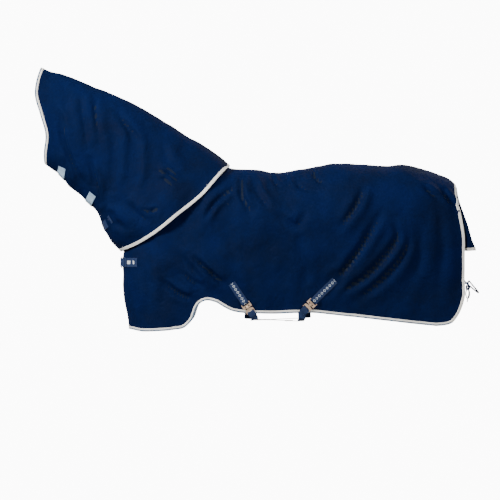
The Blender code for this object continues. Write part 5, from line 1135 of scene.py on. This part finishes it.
def softened(name, source, material, voxel, smooth=6, swell=0.0):
    """Rounded copy of a soft frame solid, for pieces that stay under the cloth."""
    mesh = source.data.copy()
    work = bmesh.new()
    work.from_mesh(mesh)
    bmesh.ops.remove_doubles(work, verts=work.verts, dist=1e-5)
    work.to_mesh(mesh)
    work.free()
    base = placed(name + "_base", mesh)
    remesh = base.modifiers.new("even", "REMESH")
    remesh.mode = "VOXEL"
    remesh.voxel_size = voxel
    relax = base.modifiers.new("relax", "SMOOTH")
    relax.iterations = smooth
    if swell:
        grain = bpy.data.textures.new(name + "_pile", "CLOUDS")
        grain.noise_scale = 0.012
        push = base.modifiers.new("pile", "DISPLACE")
        push.texture = grain
        push.texture_coords = "LOCAL"
        push.strength = swell
        push.mid_level = 0.6
    bpy.context.view_layer.update()
    graph = bpy.context.evaluated_depsgraph_get()
    plain = bpy.data.meshes.new_from_object(base.evaluated_get(graph))
    bpy.data.objects.remove(base)
    plain.name = name
    plain.materials.clear()
    plain.materials.append(material)
    plain.shade_smooth()
    return placed(name, plain)


def ridden(piece, body, slot, *nodes):
    """Hang a piece on its body and hide the frame solids it stands for; slot is not used."""
    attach(piece, body)
    if nodes:
        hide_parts(*nodes)
    return piece


def panel(label, layout, folds, ridge, finish, body, rise, sink, seeds, nodes):
    """Outer cloth and lining of both sides of one panel; gives back the draped fine grids."""
    grids = {}
    for side, mirror in (("near", False), ("off", True)):
        fine = drape(fine_grid(layout, CLOTH_STEP, ridge), folds, seeds, rise, sink, mirror)
        outer = cloth_layer(f"{label}_cloth_{side}", fine, 0.0, CLOTH_THICKNESS, finish["shell"], mirror)
        ridden(outer, body, "shell_fabric", f"{nodes[0]}_{side}")
        outer.cycles.shadow_terminator_geometry_offset = 0.8
        outer.cycles.shadow_terminator_offset = 0.15
        coarse = drape(fine_grid(layout, LINING_STEP, ridge), folds, seeds, rise, sink, mirror)
        inner = cloth_layer(f"{label}_inside_{side}", coarse, LINING_TOP + LINING_THICKNESS,
                            LINING_THICKNESS, finish["lining"], mirror)
        ridden(inner, body, "lining_fabric", f"{nodes[1]}_{side}")
        grids[side] = fine
    return grids


def tape_run(name, grid, lines, mirror, material, body, slot, solid, sewn):
    """Tape along an edge line of a draped grid, from its edge and inner index."""
    edge, inner = lines
    points, normals = grid["points"], grid["normals"]
    made, line = edge_tape(name, points[edge], points[inner], normals[edge], normals[inner], material, mirror)
    sewn.append(line)
    return ridden(made, body, slot, solid)


def body_rug(finish, sewn):
    """The body rug's cloth, lining and edge tapes."""
    grids = panel("body", body_grid(), BODY_FOLDS, NECKLINE_END, finish, "rug", 0.018, 0.017, (11, 12),
                  ("outer_shell", "lining"))
    for side, mirror in (("near", False), ("off", True)):
        grid = grids[side]
        columns, rows = grid["columns"], grid["rows"]
        every = slice(None)
        jobs = [("hem", (every, rows[-1]), (every, rows[-2]), "piped", "binding_tape"),
                ("front", (0, every), (columns[1], every), "piped", "binding_tape"),
                ("rear", (columns[-1], every), (columns[-2], every), "ivory", "binding_tape"),
                ("neckline", (slice(0, columns[NECKLINE_END] + 1), 0),
                 (slice(0, columns[NECKLINE_END] + 1), rows[1]), "navy_tape", "navy_tape")]
        for label, edge, inner, look, slot in jobs:
            tape_run(f"{label}_tape_{side}", grid, (edge, inner), mirror, finish[look], "rug", slot,
                     f"{label}_binding_{side}", sewn["navy" if look == "navy_tape" else "ivory"])
    return grids


def neck_cover(finish, sewn):
    """The neck cover's cloth, lining and edge tapes."""
    grids = panel("neck", neck_grid(), NECK_FOLDS, 0, finish, "neck_cover", 0.014, 0.009, (21, 22),
                  ("neck_shell", "neck_lining"))
    for side, mirror in (("near", False), ("off", True)):
        grid = grids[side]
        columns, rows = grid["columns"], grid["rows"]
        every = slice(None)
        jobs = [("neck_front", (0, every), (columns[1], every), "piped", "binding_tape"),
                ("neck_rear", (columns[-1], every), (columns[-2], every), "ivory", "binding_tape"),
                ("throat", (every, rows[-1]), (every, rows[-2]), "navy_tape", "navy_tape")]
        for label, edge, inner, look, slot in jobs:
            tape_run(f"{label}_tape_{side}", grid, (edge, inner), mirror, finish[look], "neck_cover", slot,
                     f"{label}_binding_{side}", sewn["navy" if look == "navy_tape" else "ivory"])
    return grids


def tail_flap(finish, sewn):
    """The tail flap and the tape on its lower edge."""
    grid = fine_grid(flap_grid(), CLOTH_STEP)
    spots = grid["cloth"]
    wave = 0.0035 * np.sin(spots[..., 0] * 38 + 1.0) * np.clip(spots[..., 1] / 0.3, 0, 1)
    grid["points"] = grid["points"] + grid["normals"] * wave[..., None]
    flap = cloth_layer("tail_flap_cloth", grid, 0.0, 0.0022, finish["shell"])
    ridden(flap, "tail_flap", "shell_fabric", "tail_flap")
    every, rows = slice(None), grid["rows"]
    made, line = edge_tape("tail_flap_tape", grid["points"][every, rows[-1]], grid["points"][every, rows[-2]],
                           grid["normals"][every, rows[-1]], grid["normals"][every, rows[-2]],
                           finish["ivory"])
    ridden(made, "tail_flap", "binding_tape", "tail_flap_binding")
    sewn.append(line)


def straps(finish):
    """Every strap and tab of webbing, with its sewn boxes by body."""
    boxes = {"rug": []}
    for label, width in (("upper", UPPER_STRAP_WIDTH), ("lower", LOWER_STRAP_WIDTH)):
        for kind in ("strap", "billet"):
            name = f"chest_{kind}_{label}"
            made = web(f"{name}_web", ROUTES[name], width, WEBBING_THICKNESS, finish["webbing"])
            ridden(made, "rug", "webbing", name)
            boxes["rug"] += web_box(ROUTES[name], width, 0.006, 0.034, -BOX_LIFT)
    for label in ("front", "rear"):
        name = f"surcingle_stub_{label}"
        made = web(f"{name}_web", ROUTES[name], SURCINGLE_WIDTH, WEBBING_THICKNESS, finish["motif"])
        ridden(made, "rug", "webbing", name)
        boxes["rug"] += web_box(ROUTES[name], SURCINGLE_WIDTH, 0.004, 0.034, BOX_LIFT)
        name = f"belly_strap_{label}"
        made = web(f"{name}_web", ROUTES[name], SURCINGLE_WIDTH, BELLY_THICKNESS, finish["webbing"],
                   straight=True)
        ridden(made, "rug", "webbing", name)
    for number, tab_look, patch_look in ((1, "pale_web", "hook_tape"), (2, "pale_web", "hook_tape"),
                                         (3, "webbing", "navy_hook_tape")):
        name = f"throat_tab_{number}"
        made = web(f"{name}_web", ROUTES[name], THROAT_TAB_WIDTH, TAB_THICKNESS, finish[tab_look], TAB_STEP)
        ridden(made, name, "webbing", name)
        boxes[name] = web_box(ROUTES[name], THROAT_TAB_WIDTH, 0.004, 0.020, 0.0012)
        name = f"throat_patch_{number}"
        made = web(f"{name}_tape", ROUTES[name], PATCH_WIDTH, PATCH_THICKNESS, finish[patch_look], TAB_STEP)
        ridden(made, "neck_cover", "pale_webbing", name)
    strip = web("reflective_strip_tape", ROUTES["reflective_strip"], STRIP_WIDTH, STRIP_THICKNESS,
                finish["reflective"], lift=-STRIP_LIFT)
    ridden(strip, "rug", "reflective", "reflective_strip")
    for name, sizes in BANDS.items():
        made = band(f"{name}_band", *sizes, finish["webbing"])
        ridden(made, "rug" if name.startswith("tail") else name, "webbing", name)
    return boxes


def cords(finish):
    """Tail cord, its knots, and the loop and the end that hang from each."""
    low, high = (np.array(c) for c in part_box("tail_cord"))
    wall = (high[1] - low[1]) / 2 - CORD_RADIUS
    x, top = CORD_X, CORD_TOP
    middle = [(x + 0.075 * (1 - s * s), wall * s * 0.985, top - 0.075 * (1 - s * s))
              for s in np.linspace(-0.97, 0.97, 21)]
    route = [(x, -wall, top - 0.026), (x, -wall, top - 0.010)] + middle
    route += [(x, wall, top - 0.010), (x, wall, top - 0.026)]
    made = rope("tail_cord_braid", route, CORD_RADIUS, finish["cord"], step=0.004)
    ridden(made, "rug", "cord", "tail_cord")
    for side, sign in (("near", -1.0), ("off", 1.0)):
        centre = np.array(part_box(f"tail_knot_{side}")).mean(axis=0)
        knot = []
        for k in range(36):
            turn = 2 * math.pi * k / 36
            ring = 0.0078 + 0.0036 * math.cos(3 * turn)
            knot.append(centre + (ring * math.cos(2 * turn), 0.0056 * math.sin(3 * turn),
                                  ring * 1.25 * math.sin(2 * turn)))
        made = rope(f"tail_knot_{side}_braid", knot, 0.0036, finish["cord"], closed=True)
        ridden(made, "rug", "cord", f"tail_knot_{side}")
        loop = [centre + (0.0, sign * 0.002, -0.006)]
        for k in range(13):
            turn = math.pi * (0.5 - k / 6)
            loop.append(centre + (0.011 * math.cos(turn), sign * (0.004 + 0.003 * math.sin(turn)),
                                  -0.036 + 0.027 * math.sin(turn)))
        loop.append(centre + (0.0, sign * 0.001, -0.007))
        ridden(rope(f"tail_loop_{side}_braid", loop, 0.0030, finish["cord"]), "rug", "cord")
        tail = [centre + (0.002, 0, -0.006), centre + (0.006, sign * 0.004, -0.030),
                centre + (0.001, sign * 0.007, -0.058), centre + (-0.004, sign * 0.006, -0.084)]
        ridden(rope(f"tail_end_{side}_braid", tail, 0.0032, finish["cord"]), "rug", "cord")


def under_pieces(finish, frame):
    """Soft pieces that stay under the cloth: pad, seam tapes and the withers fastening."""
    nodes = frame["nodes"]
    pad = softened("wither_pad_fleece", nodes["wither_pad"], finish["fleece"], 0.0045, 8, 0.004)
    ridden(pad, "rug", "fleece", "wither_pad")
    for name, body in (("spine_tape", "rug"), ("crest_tape", "neck_cover")):
        voxel = 0.0016
        made = softened(f"{name}_strip", nodes[name], finish["seam_tape"], voxel, 2)
        ridden(made, body, "seam_tape", name)
    block = softened("withers_fastening_tape", nodes["withers_fastening"], finish["hook_tape"], 0.0012, 3)
    ridden(block, "rug", "seam_tape", "withers_fastening")


def fittings(finish, frame):
    """Plated fittings keep their shape and take their plating."""
    for name, thing in frame["nodes"].items():
        if any(part in name for part in ("frame", "prong", "plate", "hook", "slider")):
            for slot in thing.material_slots:
                slot.material = finish["brass"]


def sewing(finish, sewn, boxes):
    """All the stitching, one piece for each body and thread."""
    tree = stitch_tree()
    for body, threads in sewn.items():
        for colour, lines in threads.items():
            if lines:
                name = f"{body}_{colour}_stitches"
                look = finish["thread" if colour == "ivory" else "navy_thread"]
                slot = "binding_tape" if colour == "ivory" else "webbing"
                ridden(stitches(name, tree, lines, look), body, slot)
    for body, lines in boxes.items():
        made = stitches(f"{body}_box_stitches", tree, lines, finish["navy_thread"], 0.0034, 0.0026, 0.0004)
        ridden(made, body, "webbing")


def studio(finish):
    """Plain pale surround, soft light and the camera."""
    ball = bmesh.new()
    bmesh.ops.create_uvsphere(ball, u_segments=48, v_segments=24, radius=32.0)
    bmesh.ops.reverse_faces(ball, faces=ball.faces)
    mesh = bpy.data.meshes.new("studio_surround")
    ball.to_mesh(mesh)
    ball.free()
    mesh.shade_smooth()
    mesh.materials.append(finish["surround"])
    glow = finish["surround"].node_tree.nodes["Principled BSDF"]
    glow.inputs["Emission Color"].default_value = linear("#ffffff")
    glow.inputs["Emission Strength"].default_value = SURROUND_GLOW
    surround = placed("studio_surround", mesh)
    surround.visible_diffuse = False
    surround.visible_glossy = False
    surround.visible_shadow = False
    world = bpy.data.worlds.new("studio")
    world.use_nodes = True
    sky = world.node_tree.nodes["Background"]
    sky.inputs["Color"].default_value = linear("#ffffff")
    sky.inputs["Strength"].default_value = SKY_STRENGTH
    bpy.context.scene.world = world
    for name, place, aim, size, power in LIGHTS:
        lamp = bpy.data.lights.new(name, "AREA")
        lamp.shape = "RECTANGLE"
        lamp.size, lamp.size_y = size
        lamp.energy = power
        made = placed(name, lamp)
        made.location = place
        made.rotation_euler = (Vector(aim) - Vector(place)).to_track_quat("-Z", "Y").to_euler()
    lens = bpy.data.cameras.new("view")
    lens.lens = 180.0
    lens.sensor_width = 36.0
    lens.clip_end = 60.0
    camera = placed("view", lens)
    camera.location = (0.035, -14.62, -0.441)
    camera.rotation_euler = (math.radians(90), 0.0, 0.0)
    bpy.context.scene.camera = camera


def main():
    """Make the whole rug around its frame."""
    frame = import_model()
    finish = finishes()
    studio(finish)
    sewn = {body: {"ivory": [], "navy": []} for body in ("rug", "neck_cover", "tail_flap")}
    body_rug(finish, sewn["rug"])
    neck_cover(finish, sewn["neck_cover"])
    tail_flap(finish, sewn["tail_flap"]["ivory"])
    boxes = straps(finish)
    cords(finish)
    under_pieces(finish, frame)
    fittings(finish, frame)
    sewing(finish, sewn, boxes)


main()
